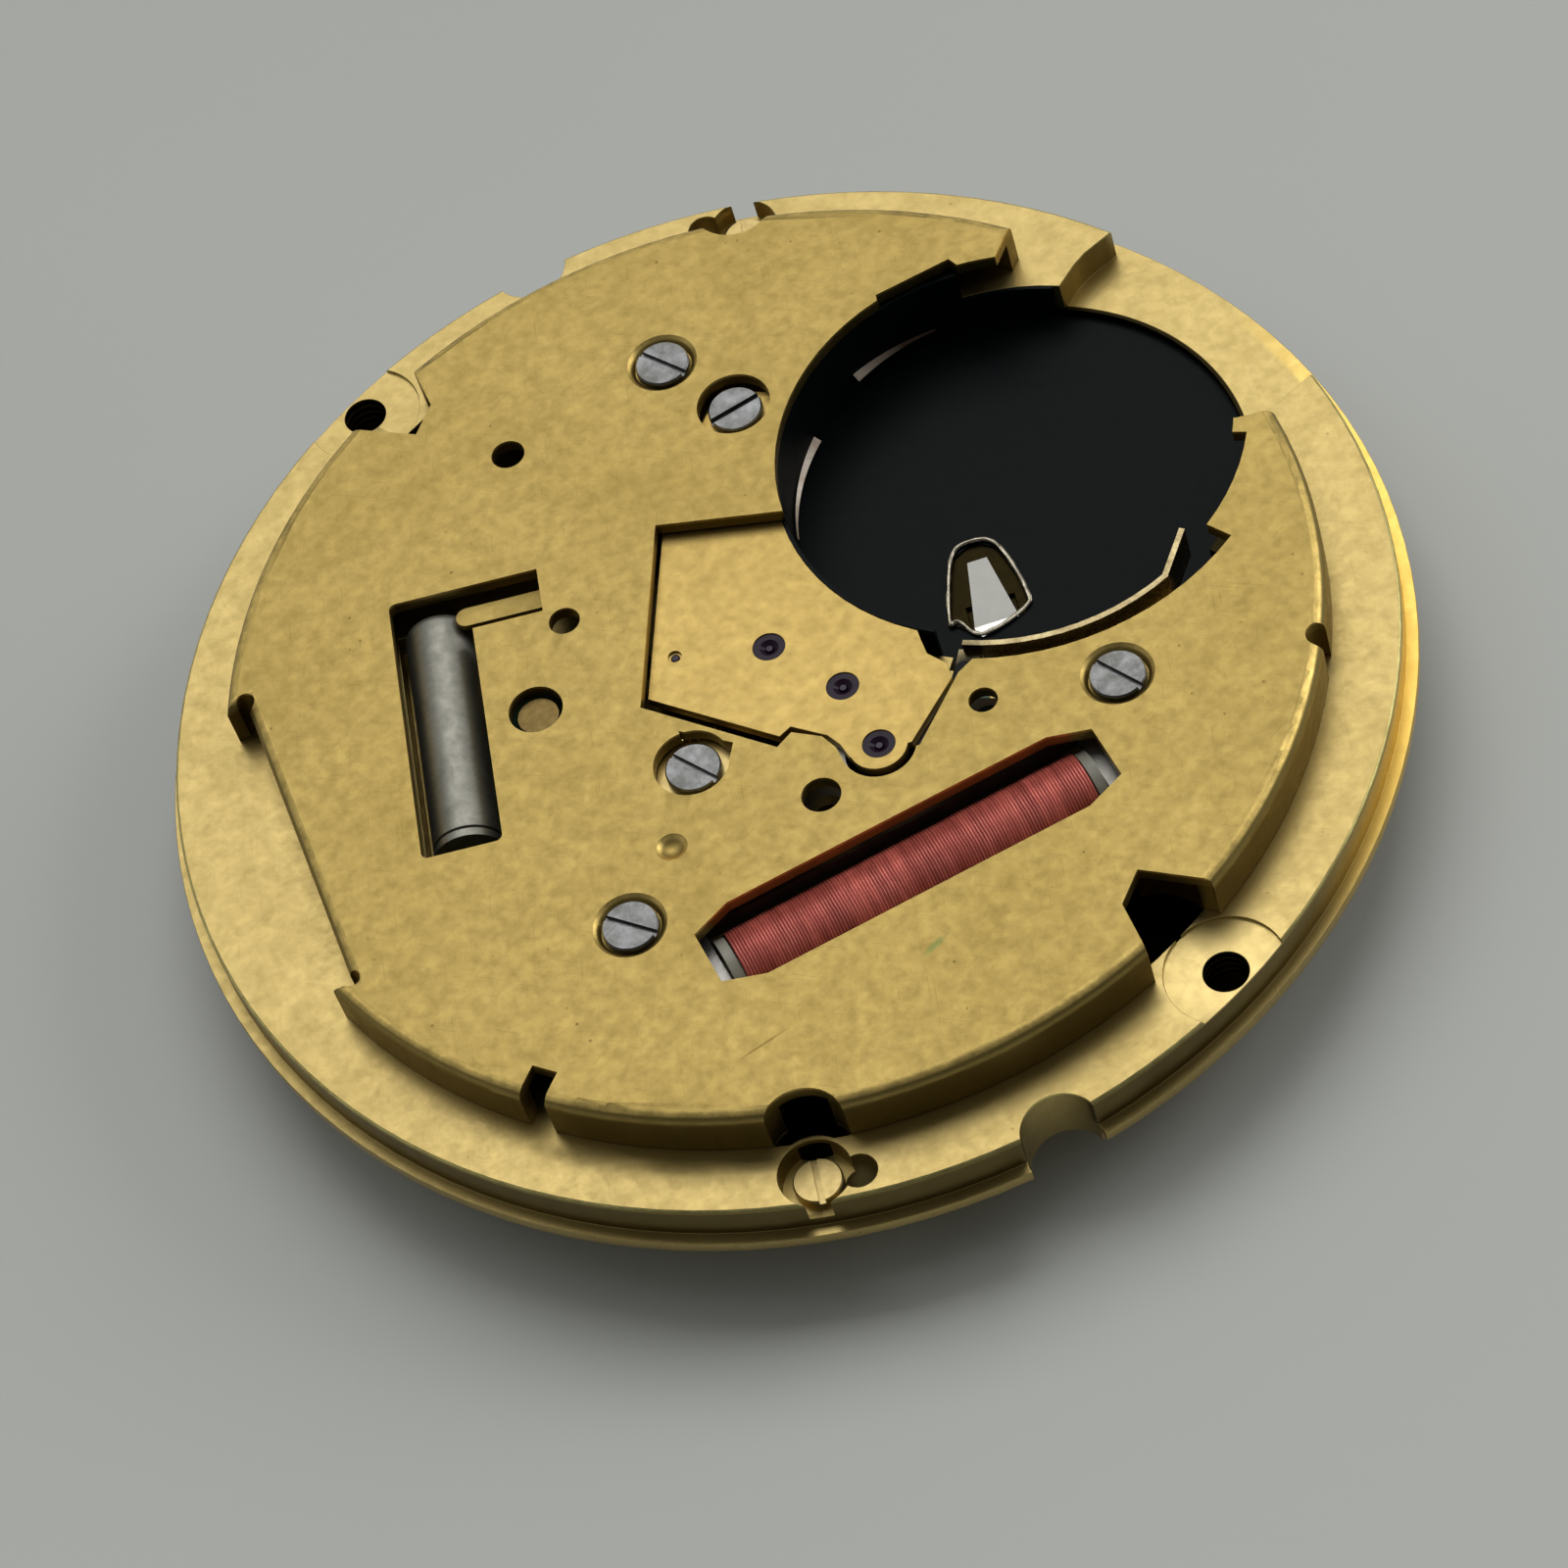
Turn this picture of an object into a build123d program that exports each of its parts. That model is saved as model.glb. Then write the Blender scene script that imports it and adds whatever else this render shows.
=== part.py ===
from build123d import *
import os
from math import asin, atan2, cos, degrees, hypot, pi, radians, sin, sqrt

os.makedirs("parts", exist_ok=True)

# Frame: millimetres. The origin is on the axis of the hands, at the dial seat.
# +Z leaves through the battery side, and +Y leaves along the stem.
# Positions in plan are shares of the casing radius, written (x share, y share).

# Main plate
CASING_RADIUS = 12.80
FLANGE_OVERHANG = 0.25
FLANGE_BOTTOM = 0.30
FLANGE_THICKNESS = 0.26
RING_HEIGHT = 1.35
TRAIN_WEB_TOP = 0.85
TRAIN_WEB_THICKNESS = 0.25
WELL_FLOOR = 0.33
RING_EDGE_CHAMFER = 0.05
OVERRUN = 1.0

# Movement cover
COVER_LEDGE = 1.39
COVER_TOP = 2.50
COVER_SHEET = 0.30
COVER_WALL = 0.35
COVER_EDGE_RADIUS = 0.26
COVER_FLAT_DEPTH = 1.09
COVER_FLAT_ANGLE = 174.6
COVER_FLAT_UPPER = 3.75
COVER_FLAT_LOWER = 3.85
COVER_JOG_RELIEF = 0.20

# Battery well, for a cell 9.5 mm across and 2.1 mm thick
CELL_RADIUS = 4.75
CELL_CLEARANCE = 0.05
BATTERY_SHARE = (0.5010, 0.1477)
INSULATOR_THICKNESS = 0.05
INSULATOR_WALL = 0.08
INSULATOR_TOP_GAP = 0.02
INSULATOR_ARC_START = 53.0
INSULATOR_STEP_ANGLE = 76.0
INSULATOR_ARC_END = 226.0
STRIP_POCKET_RADIUS = 5.20
STRIP_POCKET_START = -131.0
STRIP_POCKET_END = -60.0
STRIP_OPENING_RADIUS = 5.70
STRIP_OPENING_STEP = -61.5
STRIP_LEDGE_RADIUS = 5.10
STRIP_OPENING_END = -34.0

# Screws
HEAD_RADIUS = 0.58
HEAD_HEIGHT = 0.20
HEAD_CHAMFER = 0.03
SLOT_WIDTH = 0.13
SLOT_DEPTH = 0.09
SHANK_RADIUS = 0.28
SHANK_LENGTH = 1.10
SEAT_GAP = 0.04
SEAT_CHAMFER = 0.14
BRIDGE_SCREW_WINDOW = 0.79
POST_RADIUS = 0.80

# Lug screws for the dial feet, and screws for the case clamps
DIAL_HEAD_RADIUS = 0.50
DIAL_POCKET_RADIUS = 0.74
DIAL_POCKET_WALL = 0.08
DIAL_POCKET_FLOOR = 0.80
DIAL_HEAD_HEIGHT = 0.25
DIAL_SHANK_RADIUS = 0.25
DIAL_SHANK_LENGTH = 0.50
DIAL_SLOT_ANGLE = 75.0
DIAL_FOOT_BORE = 0.37
CASE_RECESS_RADIUS = 1.23
CASE_RECESS_DEPTH = 0.08
CASE_THREAD_RADIUS = 0.46
CASE_THREAD_BOTTOM = 0.35
CASE_NEAR_ANGLE = -69.2
CASE_FAR_ANGLE = 112.6
CASE_HOLE_SHARE = 0.960
FLANGE_NOTCH_RADIUS = 0.80
FLANGE_NOTCH_SHARE = 1.013

# Train bridge and gear train
BRIDGE_TOP = 2.15
BRIDGE_THICKNESS = 0.22
JEWEL_RADIUS = 0.34
JEWEL_SET_BACK = 0.03
OIL_CUP_RADIUS = 0.20
OIL_CUP_DEPTH = 0.07
THIRD_SINK_RADIUS = 0.14
BRIDGE_EDGE_CHAMFER = 0.03
PIVOT_RADIUS = 0.07
PIVOT_CLEARANCE = 0.02
PIVOT_END_GAP = 0.03
TRAIN_POCKET_CLEARANCE = 0.12
WHEEL_THICKNESS = 0.10
ADDENDUM_SHARE = 0.90
DEDENDUM_SHARE = 1.20
TOOTH_ROOT_SHARE = 0.32
TOOTH_TIP_SHARE = 0.12
SPOKE_HOLE_SHARE = 0.30
SPOKE_COUNT = 5
THIRD_SHARE = (-0.1370, 0.0690)
INTERMEDIATE_SHARE = (0.0671, -0.1366)
ROTOR_SHARE = (0.0672, -0.2693)
ROTOR_PINION_TEETH = 8
INTERMEDIATE_WHEEL_TEETH = 48
INTERMEDIATE_PINION_TEETH = 8
SECONDS_WHEEL_TEETH = 40
SECONDS_PINION_TEETH = 7
THIRD_WHEEL_TEETH = 70
THIRD_PINION_TEETH = 10
CENTER_WHEEL_TEETH = 60
ARBOR_RADIUS = 0.11
CENTER_WHEEL_Z = 0.90
INTERMEDIATE_WHEEL_Z = 1.10
SECONDS_WHEEL_Z = 1.32
THIRD_WHEEL_Z = 1.60
PINION_OVERLAP = 0.03

# Hand posts: seconds arbor, hollow center arbor, cannon pinion and hour wheel pipe
SECONDS_POST_RADIUS = 0.125
SECONDS_POST_END = -1.60
CENTER_BORE_RADIUS = 0.15
CENTER_ARBOR_RADIUS = 0.30
CENTER_ARBOR_END = -1.05
CENTER_HUB_RADIUS = 0.42
CANNON_BORE_RADIUS = 0.32
CANNON_RADIUS = 0.45
CANNON_END = -1.25
HOUR_BORE_RADIUS = 0.48
HOUR_PIPE_RADIUS = 0.75
HOUR_PIPE_END = -0.80
HOUR_COLLAR_RADIUS = 0.93
HOUR_COLLAR_DROP = 0.05

# Motion works and setting parts under the dial-side cover
MOTION_MODULE = 0.10
CANNON_TEETH = 10
MINUTE_WHEEL_TEETH = 30
MINUTE_PINION_TEETH = 8
HOUR_WHEEL_TEETH = 32
SETTING_WHEEL_TEETH = 20
MINUTE_POST_ANGLE = 116.7
SETTING_POST_SHARE = 0.30
MINUTE_POST_RADIUS = 0.20
SETTING_POST_RADIUS = 0.35
DIAL_COVER_THICKNESS = 0.15
DIAL_COVER_BORE_GAP = 0.07
DIAL_COVER_BODY_RADIUS = 3.60
DIAL_COVER_TAIL_RADIUS = 3.40
DIAL_COVER_TAIL_SHARE = (0.0, 0.586)
MOTION_GAP = 0.03
MOTION_WHEEL_THICKNESS = 0.12
MINUTE_WHEEL_Z = 0.42
CANNON_LEAF_TOP = 0.56
POST_CLEARANCE = 0.03
STEM_AXIS_Z = 0.80
STEM_BORE_RADIUS = 0.46
STEM_BORE_END_SHARE = 0.62
LEVER_PIVOT_SHARE = (-0.2040, 0.5830)
LEVER_PIN_SHARE = 0.7000
LEVER_WIDTH = 0.80
LEVER_THICKNESS = 0.20
LEVER_AXLE_RADIUS = 0.26
LEVER_PIN_RADIUS = 0.15
LEVER_PIN_TOP = 0.62
LEVER_TURN = 8.0
LEVER_ROOM = 0.05
YOKE_PIVOT_SHARE = (0.2030, 0.4844)
YOKE_WIDTH = 0.30
YOKE_PIVOT_WIDTH = 0.80
YOKE_REACH = 0.25
YOKE_TURN = 4.8
YOKE_AXLE_RADIUS = 0.20
SLIDING_PINION_RADIUS = 0.55
SLIDING_GROOVE_RADIUS = 0.35
SLIDING_GROOVE_WIDTH = 0.50
SLIDING_NOSE = 0.40
SLIDING_TAIL = 0.35
SLIDING_TRAVEL = 0.22
SLIDING_BORE_SIDE = 0.36
SLIDING_TEETH = 8
SLIDING_TOOTH_SHARE = 0.80
SLIDING_TOOTH_DEPTH = 0.24

# Electronics and motor
COIL_CENTER_SHARE = (0.0117, -0.4969)
COIL_RADIUS = 0.92
COIL_LENGTH = 7.86
COIL_AXIS_Z = 1.33
COIL_FLAT_BOTTOM = 0.12
CORE_WIDTH = 0.90
CORE_THICKNESS = 0.45
STATOR_LEG_GAP = 0.05
STATOR_LEG_WIDTH = 0.55
CHEEK_THICKNESS = 0.22
CHEEK_RADIUS = 0.98
COIL_POCKET_FLOOR = 0.35
COIL_POCKET_MARGIN = 0.10
STATOR_THICKNESS = 0.325
STATOR_BORE = 0.74
STATOR_NECK_RADIUS = 0.16
MAGNET_RADIUS = 0.58
MAGNET_HEIGHT = 0.36
QUARTZ_CENTER_SHARE = (-0.5091, 0.1448)
QUARTZ_ANGLE = 73.2
QUARTZ_RADIUS = 0.75
QUARTZ_LENGTH = 5.85
QUARTZ_AXIS_Z = 1.55
QUARTZ_SHIFT = 0.11
QUARTZ_RIM = 0.07
QUARTZ_NOSE_SHARE = 0.35
QUARTZ_POCKET_WIDTH = 1.90
LEAD_RADIUS = 0.10
LEAD_SPACING = 0.50
LEAD_LENGTH = 0.85
BOARD_THICKNESS = 0.12
CHIP_RADIUS = 0.95
CHIP_HEIGHT = 0.55
CHIP_ROUND_SHARE = 0.80
CHIP_SHARE = (-0.5900, -0.2300)
CLAMP_THICKNESS = 0.15

# Contacts
CONTACT_THICKNESS = 0.10
TONGUE_ROOT_WIDTH = 0.95
TONGUE_TIP_WIDTH = 0.42
TONGUE_LENGTH = 1.42
TONGUE_RISE = 0.46
TONGUE_ROOT_SHARE = (0.3560, -0.0540)
TONGUE_FOOT = 0.50
STRAP_WIDTH = 0.60
STRAP_END_SHARE = (0.2500, -0.1950)
STRAP_ROOM = 0.05
RISER_RADIUS = 0.15
TONGUE_ANGLE = 78.0
STRIP_THICKNESS = 0.12
STRIP_BOTTOM = 0.90
STRIP_TOP = 1.80
STRIP_START = -128.0
STRIP_END = -74.0
STRIP_TAIL_ANGLE = -60.5
STRIP_TAIL_RADIUS = 4.32
STRIP_FOOT_LENGTH = 1.30
STRIP_FOOT_WIDTH = 0.48
STRIP_FOOT_THICKNESS = 0.08
STRIP_FOOT_TURN = 1.5
STRIP_TAIL_TURN = 0.6

# Places of the fasteners and sight holes
COVER_SCREW_SHARES = [(0.0940, 0.6100), (0.4390, -0.3800), (-0.4140, -0.3800)]
COVER_SLOT_ANGLES = [-60.0, -64.0, -50.0]
BRIDGE_SCREW_SHARES = [(0.1580, 0.4610), (-0.2040, -0.1555)]
BRIDGE_SLOT_ANGLES = [4.0, -62.0]
DIAL_SCREW_SHARE = (-0.3504, -0.8777)
DIAL_FOOT_SHARE = (-0.2916, -0.9115)
DIAL_COVER_SCREW_SHARES = [(-0.1750, -0.1250), (0.0800, 0.2280), (0.0850, 0.7900)]
SIGHT_HOLES = [
    ((-0.2040, 0.5830), 0.36),
    ((-0.2630, 0.2150), 0.33),
    ((-0.3740, 0.0805), 0.57),
    ((-0.0555, -0.3266), 0.41),
    ((0.2390, -0.3070), 0.30),
]
LOCATING_POST_SHARE = (-0.3740, 0.0805)
LOCATING_POST_RADIUS = 0.43
LOCATING_POST_TOP = 2.27
DIMPLE_SHARE = (-0.2970, -0.2840)
DIMPLE_RADIUS = 0.32
DIMPLE_DEPTH = 0.14

# Windows in the cover
COIL_WINDOW_SHARE = (0.0108, -0.5023)
COIL_WINDOW_MARGIN = 0.50
COIL_WINDOW_WIDTH = 1.95
COIL_WINDOW_CORNER_X = 0.87
COIL_WINDOW_CORNER_Y = 0.33
QUARTZ_WINDOW_LENGTH = 6.58
QUARTZ_WINDOW_WIDTH = 1.69
WINDOW_CORNER = 0.15
FINGER_SLOT_START = 2.17
FINGER_SLOT_REACH = 2.344
FINGER_NEAR_EDGE = 2.45
FINGER_WIDTH = 0.46
FINGER_TIP = 0.49
FINGER_THICKNESS = 0.15
FINGER_DROP = 0.23
KEYHOLE_ANGLE = -33.5
KEYHOLE_INSET = 0.08
KEYHOLE_RADIUS = 0.28
SIDE_NOTCH_ANGLE = -139.3
SIDE_NOTCH_DEPTH = 0.70
SIDE_NOTCH_WIDTH = 0.55
DIAL_NOTCH_ANGLE = -111.7
DIAL_NOTCH_SHARE = 0.918
DIAL_NOTCH_RADIUS = 0.85
NOTCH_POCKET_FLOOR = 0.40
CASE_POCKET_REACH = 1.75
CASE_POCKET_SPAN = 8.0
DIAL_POCKET_REACH = 1.05
DIAL_POCKET_SPAN = 5.5

# Outlines, as shares of the casing radius
BRIDGE_OPENING_SHARES = [
    (-0.0569, 0.3062), (-0.2289, -0.0122), (-0.0756, -0.2055), (-0.0445, -0.1920), (-0.0066, -0.2266),
    (0.0031, -0.2578), (0.0020, -0.2922), (0.1172, -0.3281), (0.2297, -0.2375), (0.2687, -0.2234),
    (0.3047, -0.2383), (0.3438, 0.0000), (0.1367, 0.2102),
]
BRIDGE_OPENING_LOBE_SHARE = (0.0622, -0.2922)
BRIDGE_OPENING_LOBE_RADIUS = 0.77
CLAMP_WINDOW_SHARES = [(-0.1959, -0.0883), (-0.1309, -0.1578), (-0.1641, -0.2031), (-0.2040, -0.1555)]
UPPER_NOTCH_SHARES = [
    (0.4469, 0.5000), (0.4562, 0.5312), (0.5914, 0.5297), (0.6008, 0.5000), (0.5400, 0.4200),
]
END_CUT_SHARES = [
    (0.6398, 0.4883), (0.6578, 0.4883), (0.7125, 0.5398), (0.8281, 0.6250), (1.0625, 0.5859),
    (1.0625, -0.1125), (0.8852, -0.0570), (0.8297, -0.0398), (0.6250, 0.1172),
]
CASE_NOTCH_SHARES = [
    (0.2414, -0.8563), (0.2477, -0.7656), (0.2961, -0.7227), (0.3812, -0.7992),
    (0.3820, -0.9400), (0.2414, -0.9400),
]
SUNK_RIM_SHARES = [
    (0.8203, 0.0203), (0.9102, 0.0125), (0.9938, 0.0383), (1.0781, 0.0469), (1.0781, 0.5625),
    (0.8492, 0.4945), (0.8086, 0.4844), (0.7797, 0.4711), (0.7383, 0.4437), (0.6641, 0.3594),
]
BRIDGE_SHARES = [
    (-0.2088, 0.0163), (-0.0483, 0.3098), (0.0800, 0.4610), (0.1580, 0.5240), (0.2350, 0.4610),
    (0.2350, 0.3500), (0.2350, 0.0000), (0.2125, -0.1248), (0.2090, -0.1561), (0.2273, -0.1910),
    (0.2215, -0.2200),
    (0.1130, -0.2961), (0.0166, -0.2680), (0.0146, -0.2364), (0.0049, -0.2092), (-0.0371, -0.1613),
    (-0.0605, -0.1686),
]
BRIDGE_LOBE_SHARE = (0.0658, -0.2694)
BRIDGE_LOBE_RADIUS = 0.61
CLAMP_SHARES = [
    (-0.1959, -0.0883), (-0.1309, -0.1578), (-0.1750, -0.2180), (-0.3600, -0.1900), (-0.3600, -0.1150),
]
BOARD_SHARES = [
    (-0.4219, 0.1094), (-0.4023, 0.1797), (-0.3008, 0.1797), (-0.3008, -0.0781), (-0.2812, -0.1250),
    (-0.2812, -0.3320), (0.1400, -0.3320), (0.1400, -0.2580), (0.2031, -0.2250), (0.2640, -0.2250),
    (0.2640, -0.4050), (-0.3438, -0.4050), (-0.4922, -0.3300), (-0.6953, -0.3594), (-0.7500, -0.2656),
    (-0.7266, -0.1016), (-0.6563, -0.0859), (-0.5141, -0.1289), (-0.4844, -0.0937),
]
STATOR_BODY_SHARES = [
    (-0.3350, -0.4550), (0.3640, -0.4550), (0.3640, -0.3500), (0.1600, -0.2050),
    (-0.0200, -0.2050), (-0.3350, -0.3650),
]
STATOR_BODY_LOW_SHARE = -0.4150
STATOR_LEG_LOW_SHARE = -0.5320
STATOR_LEG_TOP_SHARE = -0.4550
TONGUE_WINDOW_SHARES = [
    (0.3479, 0.0943), (0.2901, -0.0163), (0.3005, -0.0400), (0.3230, -0.0740), (0.4040, -0.0680),
    (0.4232, -0.0359), (0.4247, 0.0739), (0.3933, 0.1072),
]
PILLAR_SHARES = [(0.1953, -0.2031), (0.1250, 0.3516)]
PILLAR_RADIUS = 0.25
STATOR_POST_SHARES = [(-0.1500, -0.3500), (0.2800, -0.3600)]
STATOR_POST_RADIUS = 0.35

COVER_RADIUS = CASING_RADIUS - COVER_LEDGE
COVER_FLAT_DISTANCE = COVER_RADIUS - COVER_FLAT_DEPTH
COVER_UNDERSIDE = COVER_TOP - COVER_SHEET
BRIDGE_UNDERSIDE = BRIDGE_TOP - BRIDGE_THICKNESS
TRAIN_WEB_BOTTOM = TRAIN_WEB_TOP - TRAIN_WEB_THICKNESS
FLANGE_TOP = FLANGE_BOTTOM + FLANGE_THICKNESS
WELL_RADIUS = CELL_RADIUS + CELL_CLEARANCE
WELL_BORE = WELL_RADIUS + INSULATOR_WALL
INSULATOR_WALL_TOP = COVER_UNDERSIDE - INSULATOR_TOP_GAP
SEAT_FLOOR = COVER_TOP - HEAD_HEIGHT
CORE_TOP = COIL_AXIS_Z + CORE_THICKNESS / 2
STATOR_LEG_INNER = COIL_LENGTH / 2 + CHEEK_THICKNESS + STATOR_LEG_GAP
CORE_LENGTH = (STATOR_LEG_INNER + STATOR_LEG_WIDTH) * 2
COIL_WINDOW_LENGTH = COIL_LENGTH + COIL_WINDOW_MARGIN * 2
BOARD_TOP = RING_HEIGHT + BOARD_THICKNESS
STRAP_BOTTOM = WELL_FLOOR - CONTACT_THICKNESS
MOTION_FLOOR = DIAL_COVER_THICKNESS + MOTION_GAP
LEVER_TOP = MOTION_FLOOR + LEVER_THICKNESS
DIAL_COVER_BORE = HOUR_COLLAR_RADIUS + DIAL_COVER_BORE_GAP


def at(share):
    """A place in plan, from its share of the casing radius."""
    return share[0] * CASING_RADIUS, share[1] * CASING_RADIUS


def polar(radius, angle, center=(0, 0)):
    """The point at a radius and an angle in degrees about a center."""
    return center[0] + radius * cos(radians(angle)), center[1] + radius * sin(radians(angle))


BATTERY = at(BATTERY_SHARE)
THIRD = at(THIRD_SHARE)
INTERMEDIATE = at(INTERMEDIATE_SHARE)
ROTOR = at(ROTOR_SHARE)
MINUTE_DISTANCE = MOTION_MODULE * (CANNON_TEETH + MINUTE_WHEEL_TEETH) / 2
MINUTE_POST = polar(MINUTE_DISTANCE, MINUTE_POST_ANGLE)
SETTING_DISTANCE = MOTION_MODULE * (MINUTE_WHEEL_TEETH + SETTING_WHEEL_TEETH) / 2
SETTING_POST_X = MINUTE_POST[0] + MINUTE_DISTANCE * SETTING_POST_SHARE
SETTING_POST_RISE = sqrt(SETTING_DISTANCE**2 - (SETTING_POST_X - MINUTE_POST[0]) ** 2)
SETTING_POST = (SETTING_POST_X, MINUTE_POST[1] + SETTING_POST_RISE)


STANDING = (Align.CENTER, Align.CENTER, Align.MIN)


def disc(place, radius, bottom, top):
    """An upright cylinder between two heights."""
    return Pos(place[0], place[1], bottom) * Cylinder(radius, top - bottom, align=STANDING)


def ring(place, outer, inner, bottom, top):
    """An upright tube between two heights."""
    return disc(place, outer, bottom, top) - disc(place, inner, bottom - OVERRUN, top + OVERRUN)


def prism(points, bottom, top):
    """A closed outline raised between two heights."""
    face = make_face(Polyline(*[(x, y) for x, y in points], close=True))
    return Pos(0, 0, bottom) * extrude(face, amount=top - bottom)


def slab(place, length, width, bottom, top, angle=0):
    """A rectangular block between two heights, turned about its own center."""
    block = Box(length, width, top - bottom, align=STANDING)
    return Pos(place[0], place[1], bottom) * Rot(0, 0, angle) * block


def sector(center, radius, start, end, bottom, top, steps=4):
    """A pie slice from a center out to at least a radius, used to limit a ring."""
    reach = radius / cos(radians((end - start) / steps / 2))
    arc = [polar(reach, start + (end - start) * i / steps, center) for i in range(steps + 1)]
    return prism([center] + arc, bottom, top)


def outline(shares, bottom, top):
    """A prism whose outline is written in shares of the casing radius."""
    return prism([at(s) for s in shares], bottom, top)


def turned_outline(shares, angle, bottom, top):
    """An outline in shares, turned about the movement's axis."""
    return Rot(0, 0, angle) * outline(shares, bottom, top)


def turn_point(radius, turn):
    """The point at a radius and an angle in radians about the origin."""
    return radius * cos(turn), radius * sin(turn)


def gear_face(teeth, module):
    """A toothed outline with flat flanks, four points to a tooth."""
    pitch_radius = module * teeth / 2
    tip = pitch_radius + ADDENDUM_SHARE * module
    root = pitch_radius - DEDENDUM_SHARE * module
    step = 2 * pi / teeth
    points = []
    for i in range(teeth):
        middle = i * step
        points.append(turn_point(root, middle - TOOTH_ROOT_SHARE * step))
        points.append(turn_point(tip, middle - TOOTH_TIP_SHARE * step))
        points.append(turn_point(tip, middle + TOOTH_TIP_SHARE * step))
        points.append(turn_point(root, middle + TOOTH_ROOT_SHARE * step))
    return make_face(Polyline(*points, close=True))


def gear(place, teeth, module, bottom, thickness, turn=0):
    """A toothed disc standing at a height."""
    body = extrude(gear_face(teeth, module), amount=thickness)
    return Pos(place[0], place[1], bottom) * Rot(0, 0, turn) * body


def spoked(place, wheel, teeth, module, bottom, thickness, hub):
    """A wheel lightened by round holes between its hub and its rim."""
    rim = module * teeth / 2 - DEDENDUM_SHARE * module
    hole = (rim - hub) * SPOKE_HOLE_SHARE
    middle = (rim + hub) / 2
    for i in range(SPOKE_COUNT):
        spot = polar(middle, 360 / SPOKE_COUNT * i, place)
        wheel = wheel - disc(spot, hole, bottom - OVERRUN, bottom + thickness + OVERRUN)
    return wheel


def mesh_turn(place, other, teeth, other_teeth, other_turn=0):
    """The turn in degrees that puts a gap of one gear where a tooth of the other points at it."""
    line = degrees(atan2(other[1] - place[1], other[0] - place[0]))
    other_phase = (line + 180 - other_turn) * other_teeth / 360
    own_phase = 1 / 2 - other_phase
    return line - own_phase * 360 / teeth


def pair_module(place, other, teeth, other_teeth):
    """The module of two meshed gears from the distance of their axes."""
    return 2 * hypot(other[0] - place[0], other[1] - place[1]) / (teeth + other_teeth)


CENTER = (0, 0)
ROTOR_MODULE = pair_module(ROTOR, INTERMEDIATE, ROTOR_PINION_TEETH, INTERMEDIATE_WHEEL_TEETH)
SECONDS_MODULE = pair_module(INTERMEDIATE, CENTER, INTERMEDIATE_PINION_TEETH, SECONDS_WHEEL_TEETH)
THIRD_MODULE = pair_module(CENTER, THIRD, SECONDS_PINION_TEETH, THIRD_WHEEL_TEETH)
CENTER_MODULE = pair_module(THIRD, CENTER, THIRD_PINION_TEETH, CENTER_WHEEL_TEETH)


def tip_radius(teeth, module):
    """Outer radius of a gear."""
    return module * (teeth / 2 + ADDENDUM_SHARE)


def screw(place, head_radius, head_height, seat, shank_radius, shank_length, slot_angle):
    """A slotted cheese-head screw whose head stands on a seat."""
    head = disc(place, head_radius, seat, seat + head_height)
    head = chamfer(head.edges().group_by(Axis.Z)[-1], HEAD_CHAMFER)
    top = seat + head_height
    slot = slab(place, head_radius * 2 + OVERRUN, SLOT_WIDTH, top - SLOT_DEPTH, top + OVERRUN, slot_angle)
    return head - slot + disc(place, shank_radius, seat - shank_length, seat)


def strip_pocket(bottom):
    """Room beside the well for the strip of the positive contact, open at the top."""
    top = COVER_TOP + OVERRUN
    limits = sector(BATTERY, STRIP_POCKET_RADIUS, STRIP_POCKET_START, STRIP_POCKET_END, bottom, top)
    return disc(BATTERY, STRIP_POCKET_RADIUS, bottom, top) & limits


def strip_opening():
    """The cover's opening beside the strip, wide along the strip and narrow past its end."""
    high = COVER_TOP + OVERRUN
    wide = sector(BATTERY, STRIP_OPENING_RADIUS, STRIP_POCKET_START, STRIP_OPENING_STEP, 0, high)
    wide &= disc(BATTERY, STRIP_OPENING_RADIUS, 0, high)
    narrow = sector(BATTERY, STRIP_LEDGE_RADIUS, STRIP_OPENING_STEP, STRIP_OPENING_END, 0, high)
    return wide + (narrow & disc(BATTERY, STRIP_LEDGE_RADIUS, 0, high))


def case_hole(angle):
    """Place of a case-clamp screw hole."""
    return polar(CASE_HOLE_SHARE * CASING_RADIUS, angle)


def opposite(place):
    """The place turned half a turn about the movement's axis."""
    return -place[0], -place[1]


def quartz_frame(z=0):
    """Frame of the crystal: X along the can, Y towards its left side."""
    x, y = at(QUARTZ_CENTER_SHARE)
    return Pos(x, y, z) * Rot(0, 0, QUARTZ_ANGLE)


def plate_body():
    """The turned blank: casing wall, flange and seat for the dial."""
    body = disc(CENTER, CASING_RADIUS, 0, RING_HEIGHT)
    body = chamfer(body.edges().group_by(Axis.Z)[-1], RING_EDGE_CHAMFER)
    flange = disc(CENTER, CASING_RADIUS + FLANGE_OVERHANG, FLANGE_BOTTOM, FLANGE_TOP)
    return body + flange


def cover_posts():
    """Three posts that carry the cover and hold its screws."""
    bottom = SEAT_FLOOR - SHANK_LENGTH
    posts = [disc(at(s), POST_RADIUS, RING_HEIGHT, COVER_UNDERSIDE) for s in COVER_SCREW_SHARES]
    posts = [p - disc(at(s), SHANK_RADIUS, bottom, COVER_TOP) for p, s in zip(posts, COVER_SCREW_SHARES)]
    return Compound(children=posts)


def bridge_posts():
    """Two posts that hold the bridge screws: one under the bridge, one under the clamp."""
    posts = []
    for share, top in zip(BRIDGE_SCREW_SHARES, (BRIDGE_UNDERSIDE, BRIDGE_TOP - CLAMP_THICKNESS)):
        post = disc(at(share), POST_RADIUS, RING_HEIGHT, top)
        posts.append(post - disc(at(share), SHANK_RADIUS, RING_HEIGHT - OVERRUN, COVER_TOP))
    return Compound(children=posts)


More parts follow.
